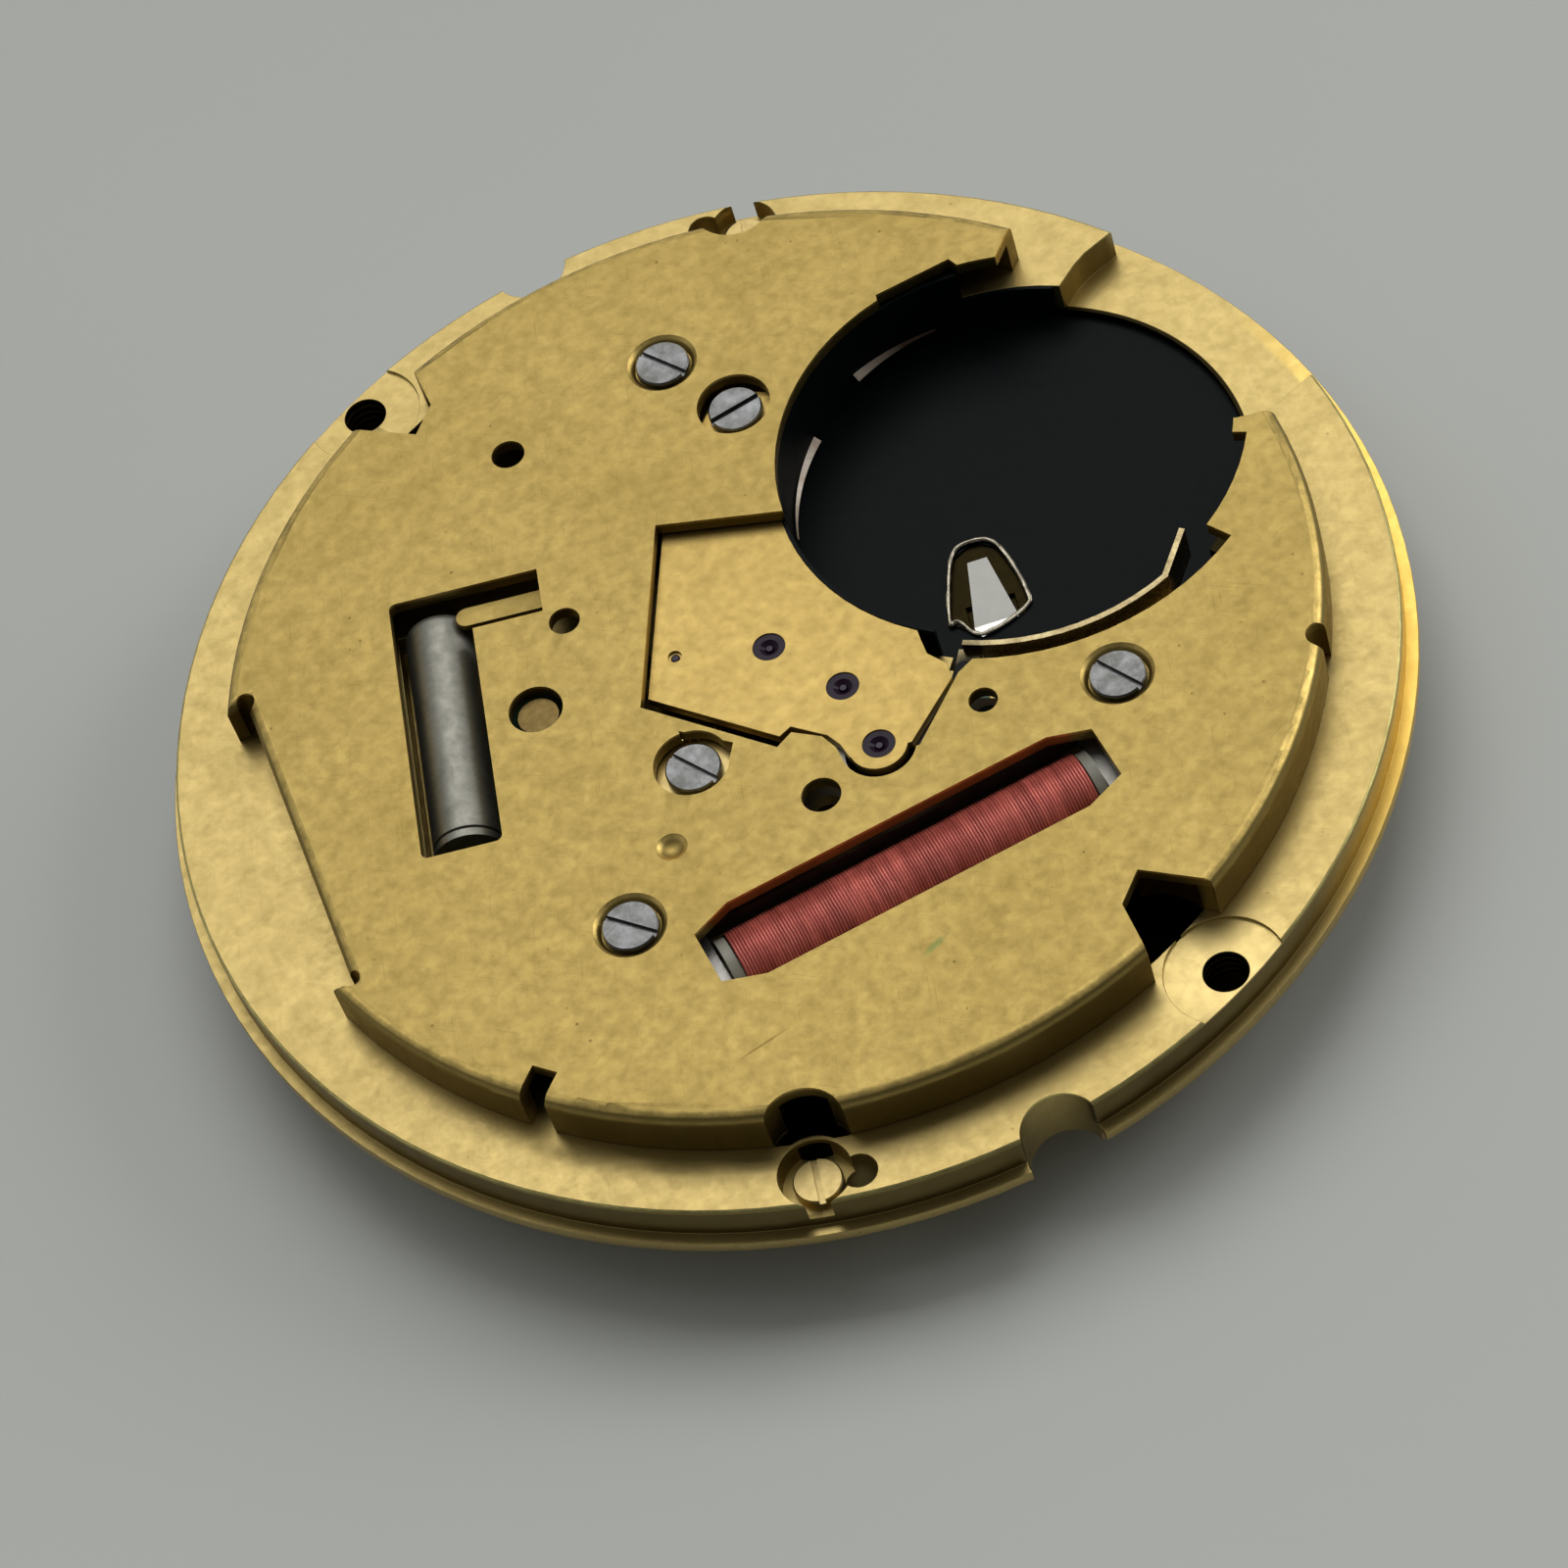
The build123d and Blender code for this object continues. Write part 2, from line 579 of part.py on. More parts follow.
def plain_posts(shares, radius, top):
    """Plain round posts that stand on the plate."""
    return Compound(children=[disc(at(s), radius, RING_HEIGHT, top) for s in shares])


def notch_band(angle, span, reach):
    """A deep pocket inside the cover's wall, centered on an angle."""
    high = COVER_TOP + OVERRUN
    outer = COVER_RADIUS - COVER_WALL
    band = ring(CENTER, outer, outer - reach, NOTCH_POCKET_FLOOR, high)
    return band & sector(CENTER, outer, angle - span, angle + span, NOTCH_POCKET_FLOOR, high)


def dial_notch():
    """Place of the near notch over a lug screw."""
    return polar(DIAL_NOTCH_SHARE * CASING_RADIUS, DIAL_NOTCH_ANGLE)


def notch_pockets():
    """Deep pockets of the plate under the rim notches of the cover."""
    high = COVER_TOP + OVERRUN
    pockets = notch_band(CASE_NEAR_ANGLE, CASE_POCKET_SPAN, CASE_POCKET_REACH)
    pockets += notch_band(CASE_FAR_ANGLE, CASE_POCKET_SPAN, CASE_POCKET_REACH)
    for turn, flip in ((0, 1), (180, -1)):
        pockets += notch_band(DIAL_NOTCH_ANGLE + turn, DIAL_POCKET_SPAN, DIAL_POCKET_REACH)
        notch = (dial_notch()[0] * flip, dial_notch()[1] * flip)
        screw_place = (at(DIAL_SCREW_SHARE)[0] * flip, at(DIAL_SCREW_SHARE)[1] * flip)
        pocket = disc(notch, DIAL_NOTCH_RADIUS, NOTCH_POCKET_FLOOR, high)
        pocket &= disc(CENTER, COVER_RADIUS, NOTCH_POCKET_FLOOR, high)
        pockets += pocket - disc(screw_place, DIAL_POCKET_RADIUS + DIAL_POCKET_WALL, 0, high)
    return pockets


def train_pocket():
    """Sunk floor under the wheels of the train."""
    top = RING_HEIGHT + OVERRUN
    third = tip_radius(THIRD_WHEEL_TEETH, THIRD_MODULE) + TRAIN_POCKET_CLEARANCE
    center = tip_radius(CENTER_WHEEL_TEETH, CENTER_MODULE) + TRAIN_POCKET_CLEARANCE
    middle = tip_radius(INTERMEDIATE_WHEEL_TEETH, ROTOR_MODULE) + TRAIN_POCKET_CLEARANCE
    pocket = disc(CENTER, center, TRAIN_WEB_TOP, top)
    pocket += disc(THIRD, third, TRAIN_WEB_TOP, top)
    pocket += disc(INTERMEDIATE, middle, TRAIN_WEB_TOP, top)
    pocket += disc(ROTOR, STATOR_BORE, TRAIN_WEB_TOP, top)
    return pocket


def motion_recess():
    """Recesses of the dial side, for the motion works and the setting parts."""
    gap = TRAIN_POCKET_CLEARANCE / 2
    body = disc(CENTER, DIAL_COVER_BODY_RADIUS, -OVERRUN, DIAL_COVER_THICKNESS)
    tail = at(DIAL_COVER_TAIL_SHARE)
    body += disc(tail, DIAL_COVER_TAIL_RADIUS, -OVERRUN, DIAL_COVER_THICKNESS)
    body += slab((0, tail[1] / 2), DIAL_COVER_TAIL_RADIUS * 2, tail[1], -OVERRUN, DIAL_COVER_THICKNESS)
    hour_top = MOTION_FLOOR + MOTION_WHEEL_THICKNESS + MOTION_GAP
    body += disc(CENTER, tip_radius(HOUR_WHEEL_TEETH, MOTION_MODULE) + gap, 0, hour_top)
    body += disc(CENTER, tip_radius(CANNON_TEETH, MOTION_MODULE) + gap, 0, TRAIN_WEB_BOTTOM)
    minute = tip_radius(MINUTE_WHEEL_TEETH, MOTION_MODULE) + gap
    body += disc(MINUTE_POST, minute, 0, TRAIN_WEB_BOTTOM)
    setting = tip_radius(SETTING_WHEEL_TEETH, MOTION_MODULE) + gap
    body += disc(SETTING_POST, setting, 0, TRAIN_WEB_BOTTOM)
    return body


def turned_place(place, pivot, angle):
    """A place turned about a pivot by an angle in degrees."""
    reach = hypot(place[0] - pivot[0], place[1] - pivot[1])
    start = degrees(atan2(place[1] - pivot[1], place[0] - pivot[0]))
    return polar(reach, start + angle, pivot)


def swept_bar(pivot, tip, width, angle, top):
    """Room for a bar and its turn about a pivot."""
    room = width + LEVER_ROOM * 2
    swept = bar_between(pivot, tip, room, 0, top)
    swept += bar_between(pivot, turned_place(tip, pivot, angle / 2), room, 0, top)
    return swept + bar_between(pivot, turned_place(tip, pivot, angle), room, 0, top)


def setting_recess():
    """Dial-side room for the setting lever and the yoke, and the slot of the sliding pinion."""
    lever = at(LEVER_PIVOT_SHARE)
    yoke_pivot = at(YOKE_PIVOT_SHARE)
    top = LEVER_TOP + MOTION_GAP
    pin = (0, LEVER_PIN_SHARE * CASING_RADIUS)
    recess = swept_bar(lever, pin, LEVER_WIDTH, LEVER_TURN, top)
    pin_room = (LEVER_PIN_RADIUS + LEVER_ROOM) * 2
    recess += bar_between(pin, turned_place(pin, lever, LEVER_TURN), pin_room, 0, LEVER_PIN_TOP + MOTION_GAP)
    recess += stem_gap(pin, turned_place(pin, lever, LEVER_TURN))
    recess += swept_bar(yoke_pivot, yoke_tip(), YOKE_WIDTH, YOKE_TURN, top)
    recess += disc(yoke_pivot, YOKE_PIVOT_WIDTH / 2 + LEVER_ROOM, 0, top)
    groove_y = yoke_pivot[1]
    length = SLIDING_NOSE + SLIDING_TAIL + SLIDING_GROOVE_WIDTH
    middle = groove_y + (SLIDING_TAIL - SLIDING_NOSE) / 2 - SLIDING_TRAVEL / 2
    width = 2 * (SLIDING_PINION_RADIUS + PINION_OVERLAP)
    slot_length = length + SLIDING_TRAVEL + LEVER_ROOM * 2
    return recess + slab((0, middle), width, slot_length, 0, RING_HEIGHT + OVERRUN)


def stem_gap(pin, moved):
    """Gap across the stem's bore, where the lever's pin meets the stem."""
    low = pin[1] - LEVER_PIN_RADIUS - LEVER_ROOM * 2
    high = moved[1] + LEVER_PIN_RADIUS + LEVER_ROOM * 2
    width = (STEM_BORE_RADIUS + LEVER_ROOM) * 2
    return slab((0, (low + high) / 2), width, high - low, 0, RING_HEIGHT + OVERRUN)


def contact_channel():
    """Groove of the negative contact: under the insulator, then up beside the well."""
    start = at(TONGUE_ROOT_SHARE)
    room = STRAP_ROOM * 2
    under = Pos(start[0], start[1], 0) * Rot(0, 0, TONGUE_ANGLE)
    length = TONGUE_FOOT * 2 + room
    groove = under * slab(CENTER, length, TONGUE_ROOT_WIDTH + room, STRAP_BOTTOM, COVER_TOP)
    bend = polar(TONGUE_FOOT / 2, TONGUE_ANGLE + 180, start)
    return groove + bar_between(bend, at(STRAP_END_SHARE), STRAP_WIDTH + room, STRAP_BOTTOM, COVER_TOP)


def main_plate():
    """The brass plate that carries everything."""
    high = COVER_TOP + OVERRUN
    plate = plate_body() - train_pocket()
    plate -= disc(BATTERY, WELL_BORE, WELL_FLOOR, high)
    plate -= strip_pocket(STRIP_BOTTOM - SEAT_GAP)
    plate -= outline(SUNK_RIM_SHARES, FLANGE_TOP, high)
    plate -= notch_pockets()
    plate -= contact_channel()
    coil = at(COIL_CENTER_SHARE)
    margin = COIL_POCKET_MARGIN * 2
    pocket_length = COIL_LENGTH + CHEEK_THICKNESS * 2 + margin
    plate -= slab(coil, pocket_length, CHEEK_RADIUS * 2 + margin, COIL_POCKET_FLOOR, high)
    plate -= slab(coil, CORE_LENGTH + margin, CORE_WIDTH + margin, CORE_TOP - CORE_THICKNESS, high)
    can_bottom = QUARTZ_AXIS_Z - QUARTZ_RADIUS
    plate -= quartz_frame() * slab(CENTER, QUARTZ_WINDOW_LENGTH, QUARTZ_POCKET_WIDTH, can_bottom, high)
    plate -= motion_recess()
    plate -= setting_recess()
    plate += disc(MINUTE_POST, MINUTE_POST_RADIUS, DIAL_COVER_THICKNESS, TRAIN_WEB_BOTTOM)
    plate += disc(SETTING_POST, SETTING_POST_RADIUS, DIAL_COVER_THICKNESS, TRAIN_WEB_BOTTOM)
    return plate_holes(plate)


def plate_holes(plate):
    """Bores, pockets and threads of the plate."""
    high = COVER_TOP + OVERRUN
    plate -= disc(CENTER, CENTER_ARBOR_RADIUS + PIVOT_CLEARANCE, -OVERRUN, high)
    lower = TRAIN_WEB_TOP - JEWEL_SET_BACK
    for place in (THIRD, INTERMEDIATE, ROTOR):
        plate -= disc(place, JEWEL_RADIUS, TRAIN_WEB_TOP - BRIDGE_THICKNESS, lower + OVERRUN)
    for share in COVER_SCREW_SHARES:
        plate -= disc(at(share), SHANK_RADIUS, SEAT_FLOOR - SHANK_LENGTH, high)
    for share in BRIDGE_SCREW_SHARES:
        plate -= disc(at(share), SHANK_RADIUS, BRIDGE_TOP - SHANK_LENGTH, high)
    for place in (at(DIAL_SCREW_SHARE), opposite(at(DIAL_SCREW_SHARE))):
        plate -= disc(place, DIAL_POCKET_RADIUS, DIAL_POCKET_FLOOR, high)
        plate -= disc(place, DIAL_SHANK_RADIUS, DIAL_POCKET_FLOOR - DIAL_SHANK_LENGTH, high)
    for place in (at(DIAL_FOOT_SHARE), opposite(at(DIAL_FOOT_SHARE))):
        plate -= disc(place, DIAL_FOOT_BORE, -OVERRUN, high)
    for angle in (CASE_NEAR_ANGLE, CASE_FAR_ANGLE):
        plate -= disc(case_hole(angle), CASE_RECESS_RADIUS, RING_HEIGHT - CASE_RECESS_DEPTH, high)
        plate -= disc(case_hole(angle), CASE_THREAD_RADIUS, CASE_THREAD_BOTTOM, high)
    notch = FLANGE_NOTCH_SHARE * CASING_RADIUS
    for y in (notch, -notch):
        plate -= disc((0, y), FLANGE_NOTCH_RADIUS, -OVERRUN, high)
    inner = STEM_BORE_END_SHARE * CASING_RADIUS
    bore = Cylinder(STEM_BORE_RADIUS, CASING_RADIUS - inner, align=STANDING)
    plate -= Pos(0, inner, STEM_AXIS_Z) * Rot(-90, 0, 0) * bore
    plate -= disc(at(LEVER_PIVOT_SHARE), LEVER_AXLE_RADIUS + PIVOT_CLEARANCE, 0, high)
    plate -= disc(at(YOKE_PIVOT_SHARE), YOKE_AXLE_RADIUS + PIVOT_CLEARANCE, 0, TRAIN_WEB_TOP)
    plate -= disc(at(SIGHT_HOLES[1][0]), SIGHT_HOLES[1][1], TRAIN_WEB_BOTTOM, high)
    for share in DIAL_COVER_SCREW_SHARES:
        plate -= disc(at(share), SHANK_RADIUS / 2, 0, TRAIN_WEB_BOTTOM)
    return plate


def cover_blank():
    """The drawn cup: rounded edge, flat on the left, hollow underneath."""
    cup = disc(CENTER, COVER_RADIUS, RING_HEIGHT, COVER_TOP)
    foot = polar(COVER_FLAT_DISTANCE, COVER_FLAT_ANGLE)
    along = COVER_FLAT_UPPER + COVER_FLAT_LOWER
    shift = (COVER_FLAT_LOWER - COVER_FLAT_UPPER) / 2
    middle = polar(COVER_FLAT_DISTANCE + along / 2, COVER_FLAT_ANGLE)
    flat = slab(CENTER, along, along, 0, COVER_TOP + OVERRUN)
    turned = Pos(middle[0], middle[1], 0) * Rot(0, 0, COVER_FLAT_ANGLE) * Pos(0, shift, 0)
    cup -= turned * flat
    cup = fillet(cup.edges().group_by(Axis.Z)[-1], COVER_EDGE_RADIUS)
    hollow = disc(CENTER, COVER_RADIUS - COVER_WALL, RING_HEIGHT - OVERRUN, COVER_UNDERSIDE)
    inner = polar(COVER_FLAT_DISTANCE - COVER_WALL + along / 2, COVER_FLAT_ANGLE)
    wide = slab(CENTER, along, along + COVER_WALL * 2, 0, COVER_TOP)
    hollow -= Pos(inner[0], inner[1], 0) * Rot(0, 0, COVER_FLAT_ANGLE) * Pos(0, shift, 0) * wide
    cup -= hollow
    for side in (COVER_FLAT_UPPER, -COVER_FLAT_LOWER):
        spot = polar(side, COVER_FLAT_ANGLE - 90, foot)
        cup -= disc(spot, COVER_JOG_RELIEF, 0, COVER_TOP + OVERRUN)
    return cup


def cover_edge_notches():
    """Notches cut into the rim of the cover."""
    high = COVER_TOP + OVERRUN
    notches = turned_outline(CASE_NOTCH_SHARES, 0, 0, high)
    notches += turned_outline(CASE_NOTCH_SHARES, CASE_FAR_ANGLE - CASE_NEAR_ANGLE, 0, high)
    notches += disc(dial_notch(), DIAL_NOTCH_RADIUS, 0, high)
    notches += disc(opposite(dial_notch()), DIAL_NOTCH_RADIUS, 0, high)
    side = polar(COVER_RADIUS, SIDE_NOTCH_ANGLE)
    notches += slab(side, SIDE_NOTCH_DEPTH * 2, SIDE_NOTCH_WIDTH, 0, high, SIDE_NOTCH_ANGLE)
    hole = polar(COVER_RADIUS - KEYHOLE_INSET, KEYHOLE_ANGLE)
    return notches + disc(hole, KEYHOLE_RADIUS, 0, high)


def quartz_window():
    """Long window over the crystal, with the side slot of the spring finger."""
    high = COVER_TOP + OVERRUN
    window = slab(CENTER, QUARTZ_WINDOW_LENGTH, QUARTZ_WINDOW_WIDTH, 0, high)
    window = fillet(window.edges().filter_by(Axis.Z), WINDOW_CORNER)
    slot_width = QUARTZ_WINDOW_LENGTH / 2 - FINGER_SLOT_START
    slot_middle = FINGER_SLOT_START + slot_width / 2
    window += slab((slot_middle, -FINGER_SLOT_REACH / 2), slot_width, FINGER_SLOT_REACH, 0, high)
    return quartz_frame() * window


def spring_finger():
    """Finger of the cover's own sheet, stepped down over the crystal's shoulder."""
    middle = FINGER_NEAR_EDGE + FINGER_WIDTH / 2
    top = COVER_TOP - FINGER_DROP
    bottom = top - FINGER_THICKNESS
    length = FINGER_SLOT_REACH + FINGER_THICKNESS - FINGER_TIP - FINGER_WIDTH / 2
    center = FINGER_TIP + FINGER_WIDTH / 2 + length / 2
    finger = slab((middle, -center), FINGER_WIDTH, length, bottom, top)
    finger += disc((middle, -FINGER_TIP - FINGER_WIDTH / 2), FINGER_WIDTH / 2, bottom, top)
    root = (middle, -FINGER_SLOT_REACH - FINGER_THICKNESS / 2)
    finger += slab(root, FINGER_WIDTH, FINGER_THICKNESS, bottom, COVER_TOP)
    return quartz_frame() * finger


def coil_window():
    """Window over the coil, with its corners cut."""
    x = COIL_WINDOW_LENGTH / 2
    y = COIL_WINDOW_WIDTH / 2
    inner = x - COIL_WINDOW_CORNER_X
    low = y - COIL_WINDOW_CORNER_Y
    points = [(-x, -low), (-inner, -y), (inner, -y), (x, -low), (x, low), (inner, y), (-inner, y), (-x, low)]
    center = at(COIL_WINDOW_SHARE)
    return Pos(center[0], center[1], 0) * prism(points, 0, COVER_TOP + OVERRUN)


def movement_cover():
    """The drawn cover with its windows, seats and notches."""
    high = COVER_TOP + OVERRUN
    cover = cover_blank()
    cover -= cover_edge_notches()
    cover -= disc(BATTERY, WELL_RADIUS, 0, high)
    cover -= strip_opening()
    cover -= outline(BRIDGE_OPENING_SHARES, 0, high)
    cover -= disc(at(BRIDGE_OPENING_LOBE_SHARE), BRIDGE_OPENING_LOBE_RADIUS, 0, high)
    cover -= outline(CLAMP_WINDOW_SHARES, 0, high)
    cover -= outline(UPPER_NOTCH_SHARES, 0, high)
    cover -= outline(END_CUT_SHARES, 0, high)
    cover -= coil_window()
    cover -= quartz_window()
    cover += spring_finger()
    for share, radius in SIGHT_HOLES:
        cover -= disc(at(share), radius, 0, high)
    for share in BRIDGE_SCREW_SHARES:
        cover -= disc(at(share), BRIDGE_SCREW_WINDOW, 0, high)
    seat = HEAD_RADIUS + SEAT_GAP
    for share in COVER_SCREW_SHARES:
        x, y = at(share)
        cover -= disc((x, y), seat, SEAT_FLOOR, high)
        cover -= disc((x, y), SHANK_RADIUS + SEAT_GAP, 0, high)
        cone = Cone(seat, seat + SEAT_CHAMFER, SEAT_CHAMFER, align=(Align.CENTER, Align.CENTER, Align.MAX))
        cover -= Pos(x, y, COVER_TOP) * cone
    x, y = at(DIMPLE_SHARE)
    ball = (DIMPLE_RADIUS**2 + DIMPLE_DEPTH**2) / (2 * DIMPLE_DEPTH)
    cover -= Pos(x, y, COVER_TOP + ball - DIMPLE_DEPTH) * Sphere(ball)
    return cover


def train_bridge():
    """Bridge over the train, seen through the cover's middle opening."""
    body = outline(BRIDGE_SHARES, BRIDGE_UNDERSIDE, BRIDGE_TOP)
    body += disc(at(BRIDGE_LOBE_SHARE), BRIDGE_LOBE_RADIUS, BRIDGE_UNDERSIDE, BRIDGE_TOP)
    body -= disc(BATTERY, WELL_BORE, 0, COVER_TOP)
    body -= disc(at(BRIDGE_SCREW_SHARES[0]), SHANK_RADIUS + SEAT_GAP, 0, COVER_TOP)
    for place in (CENTER, INTERMEDIATE, ROTOR):
        body -= disc(place, JEWEL_RADIUS, 0, COVER_TOP)
    body -= disc(THIRD, THIRD_SINK_RADIUS, BRIDGE_TOP - OIL_CUP_DEPTH, COVER_TOP)
    return body - disc(THIRD, PIVOT_RADIUS + PIVOT_CLEARANCE, 0, COVER_TOP)


def jewels(places, bottom, top):
    """Ring jewels with oil cups, which fill their holes and leave running room for the pivots."""
    hole = PIVOT_RADIUS + PIVOT_CLEARANCE
    cup = Cone(hole, OIL_CUP_RADIUS, OIL_CUP_DEPTH, align=(Align.CENTER, Align.CENTER, Align.MAX))
    stones = []
    for x, y in places:
        stones.append(ring((x, y), JEWEL_RADIUS, hole, bottom, top) - Pos(x, y, top) * cup)
    return Compound(children=stones)


def movement_screws(shares, seat, angles):
    """Like screws of the back as separate solids, on one seat level."""
    size = (HEAD_RADIUS, HEAD_HEIGHT, seat, SHANK_RADIUS, SHANK_LENGTH)
    return Compound(children=[screw(at(s), *size, a) for s, a in zip(shares, angles)])


def dial_screws():
    """The two lug screws that lock the feet of a dial."""
    made = []
    for place in (at(DIAL_SCREW_SHARE), opposite(at(DIAL_SCREW_SHARE))):
        size = (DIAL_HEAD_RADIUS, DIAL_HEAD_HEIGHT, DIAL_POCKET_FLOOR, DIAL_SHANK_RADIUS, DIAL_SHANK_LENGTH)
        made.append(screw(place, *size, DIAL_SLOT_ANGLE))
    return Compound(children=made)


def circuit_clamp():
    """Gilt clamp held by the lower bridge screw, with the lug that shows beside the bridge."""
    bottom = BRIDGE_TOP - CLAMP_THICKNESS
    clamp = outline(CLAMP_SHARES, bottom, BRIDGE_TOP)
    clamp += disc(at(BRIDGE_SCREW_SHARES[1]), POST_RADIUS, bottom, BRIDGE_TOP)
    wheel_room = tip_radius(THIRD_WHEEL_TEETH, THIRD_MODULE) + TRAIN_POCKET_CLEARANCE
    clamp -= disc(THIRD, wheel_room, 0, BRIDGE_UNDERSIDE)
    return clamp - disc(at(BRIDGE_SCREW_SHARES[1]), SHANK_RADIUS + SEAT_GAP, 0, COVER_TOP)


def battery_insulator():
    """Black film on the floor of the well, with a wall between the cell and the train."""
    top = WELL_FLOOR + INSULATOR_THICKNESS
    floor = disc(BATTERY, WELL_BORE, WELL_FLOOR, top)
    floor -= outline(TONGUE_WINDOW_SHARES, 0, COVER_TOP)
    wall = ring(BATTERY, WELL_BORE, WELL_RADIUS, top, INSULATOR_WALL_TOP)
    wall &= sector(BATTERY, WELL_BORE, INSULATOR_STEP_ANGLE, INSULATOR_ARC_END, top, INSULATOR_WALL_TOP)
    low = ring(BATTERY, WELL_BORE, WELL_RADIUS, top, RING_HEIGHT)
    low &= sector(BATTERY, WELL_BORE, INSULATOR_ARC_START, INSULATOR_STEP_ANGLE, top, RING_HEIGHT)
    return floor + wall + low


def negative_contact():
    """Sprung tongue that rises through the insulator, and its strap to the board."""
    length = TONGUE_LENGTH
    half = TONGUE_ROOT_WIDTH / 2
    tip = TONGUE_TIP_WIDTH / 2
    x, y = at(TONGUE_ROOT_SHARE)
    pitch = degrees(asin(TONGUE_RISE / length))
    turned = Pos(x, y, STRAP_BOTTOM) * Rot(0, 0, TONGUE_ANGLE)
    leaf = prism([(0, -half), (length, -tip), (length, tip), (0, half)], 0, CONTACT_THICKNESS)
    leaf = turned * Rot(0, -pitch, 0) * leaf
    foot = turned * slab((-TONGUE_FOOT / 2, 0), TONGUE_FOOT, TONGUE_ROOT_WIDTH, 0, CONTACT_THICKNESS)
    bend = polar(TONGUE_FOOT / 2, TONGUE_ANGLE + 180, (x, y))
    end = at(STRAP_END_SHARE)
    strap = bar_between(bend, end, STRAP_WIDTH, STRAP_BOTTOM, WELL_FLOOR)
    riser = disc(end, RISER_RADIUS, WELL_FLOOR, RING_HEIGHT)
    return leaf + foot + strap + riser


def positive_contact():
    """Strip on edge along the wall of the well, sprung inwards at its free end."""
    outer = CELL_RADIUS + STRIP_THICKNESS / 2 + CELL_CLEARANCE
    inner = outer - STRIP_THICKNESS
    strip = ring(BATTERY, outer, inner, STRIP_BOTTOM, STRIP_TOP)
    strip &= sector(BATTERY, outer, STRIP_START, STRIP_END, STRIP_BOTTOM, STRIP_TOP)
    middle = (outer + inner) / 2
    near = polar(middle, STRIP_END - STRIP_TAIL_TURN, BATTERY)
    far = polar(STRIP_TAIL_RADIUS, STRIP_TAIL_ANGLE, BATTERY)
    angle = degrees(atan2(far[1] - near[1], far[0] - near[0]))
    length = hypot(far[0] - near[0], far[1] - near[1])
    center = ((near[0] + far[0]) / 2, (near[1] + far[1]) / 2)
    strip += slab(center, length, STRIP_THICKNESS, STRIP_BOTTOM, STRIP_TOP, angle)
    foot_angle = STRIP_START + STRIP_FOOT_TURN
    foot = polar(middle + STRIP_FOOT_LENGTH / 2, foot_angle, BATTERY)
    level = BOARD_TOP + STRIP_FOOT_THICKNESS
    strip += slab(foot, STRIP_FOOT_LENGTH, STRIP_FOOT_WIDTH, BOARD_TOP, level, foot_angle)
    return strip


def circuit_board():
    """Board on the plate beside the crystal, between the locating post and the wall."""
    board = outline(BOARD_SHARES, RING_HEIGHT, BOARD_TOP)
    board -= disc(at(LOCATING_POST_SHARE), LOCATING_POST_RADIUS + SEAT_GAP, 0, COVER_TOP)
    board -= disc(at(PILLAR_SHARES[0]), PILLAR_RADIUS + SEAT_GAP, 0, COVER_TOP)
    for share in STATOR_POST_SHARES:
        board -= disc(at(share), STATOR_POST_RADIUS + SEAT_GAP, 0, COVER_TOP)
    return board - disc(at(COVER_SCREW_SHARES[2]), POST_RADIUS + SEAT_GAP, 0, COVER_TOP)


def circuit_chip():
    """Driver chip under its rounded drop of resin."""
    x, y = at(CHIP_SHARE)
    drop = disc((x, y), CHIP_RADIUS, BOARD_TOP, BOARD_TOP + CHIP_HEIGHT)
    return fillet(drop.edges().group_by(Axis.Z)[-1], CHIP_HEIGHT * CHIP_ROUND_SHARE)


def quartz_can():
    """Crystal can with a rolled rim at its sealed end."""
    can = Cylinder(QUARTZ_RADIUS, QUARTZ_LENGTH)
    can = fillet(can.edges().group_by(Axis.Z)[-1], QUARTZ_RADIUS * QUARTZ_NOSE_SHARE)
    step = Cylinder(QUARTZ_RADIUS + OVERRUN, QUARTZ_RIM) - Cylinder(QUARTZ_RADIUS - QUARTZ_RIM, QUARTZ_RIM)
    can -= Pos(0, 0, -QUARTZ_LENGTH / 2 + QUARTZ_RIM * 3) * step
    dish = Cylinder(QUARTZ_RADIUS - QUARTZ_RIM * 2, QUARTZ_RIM * 2)
    can -= Pos(0, 0, -QUARTZ_LENGTH / 2) * dish
    return quartz_frame(QUARTZ_AXIS_Z) * Pos(QUARTZ_SHIFT, 0, 0) * Rot(0, 90, 0) * can


def quartz_leads():
    """Two wires from the glass seal of the crystal to the board's pads."""
    start = QUARTZ_SHIFT - QUARTZ_LENGTH / 2 + QUARTZ_RIM
    wires = []
    for side in (-LEAD_SPACING / 2, LEAD_SPACING / 2):
        wire = Cylinder(LEAD_RADIUS, LEAD_LENGTH, align=(Align.CENTER, Align.CENTER, Align.MAX))
        wires.append(quartz_frame(BOARD_TOP + LEAD_RADIUS) * Pos(start, side, 0) * Rot(0, 90, 0) * wire)
    return Compound(children=wires)


def coil_parts():
    """Winding, core strip and end cheeks of the motor coil."""
    x, y = at(COIL_CENTER_SHARE)
    place = Pos(x, y, COIL_AXIS_Z) * Rot(0, 90, 0)
    core = Box(CORE_LENGTH, CORE_WIDTH, CORE_THICKNESS)
    hole = Pos(x, y, COIL_AXIS_Z) * core
    winding = place * Cylinder(COIL_RADIUS, COIL_LENGTH)
    winding -= hole
    cheeks = []
    for side in (-1, 1):
        offset = side * (COIL_LENGTH + CHEEK_THICKNESS) / 2
        disk = Cylinder(CHEEK_RADIUS - COIL_FLAT_BOTTOM, CHEEK_THICKNESS)
        cheeks.append(Pos(x + offset, y, COIL_AXIS_Z) * Rot(0, 90, 0) * disk - hole)
    return winding, hole, Compound(children=cheeks)


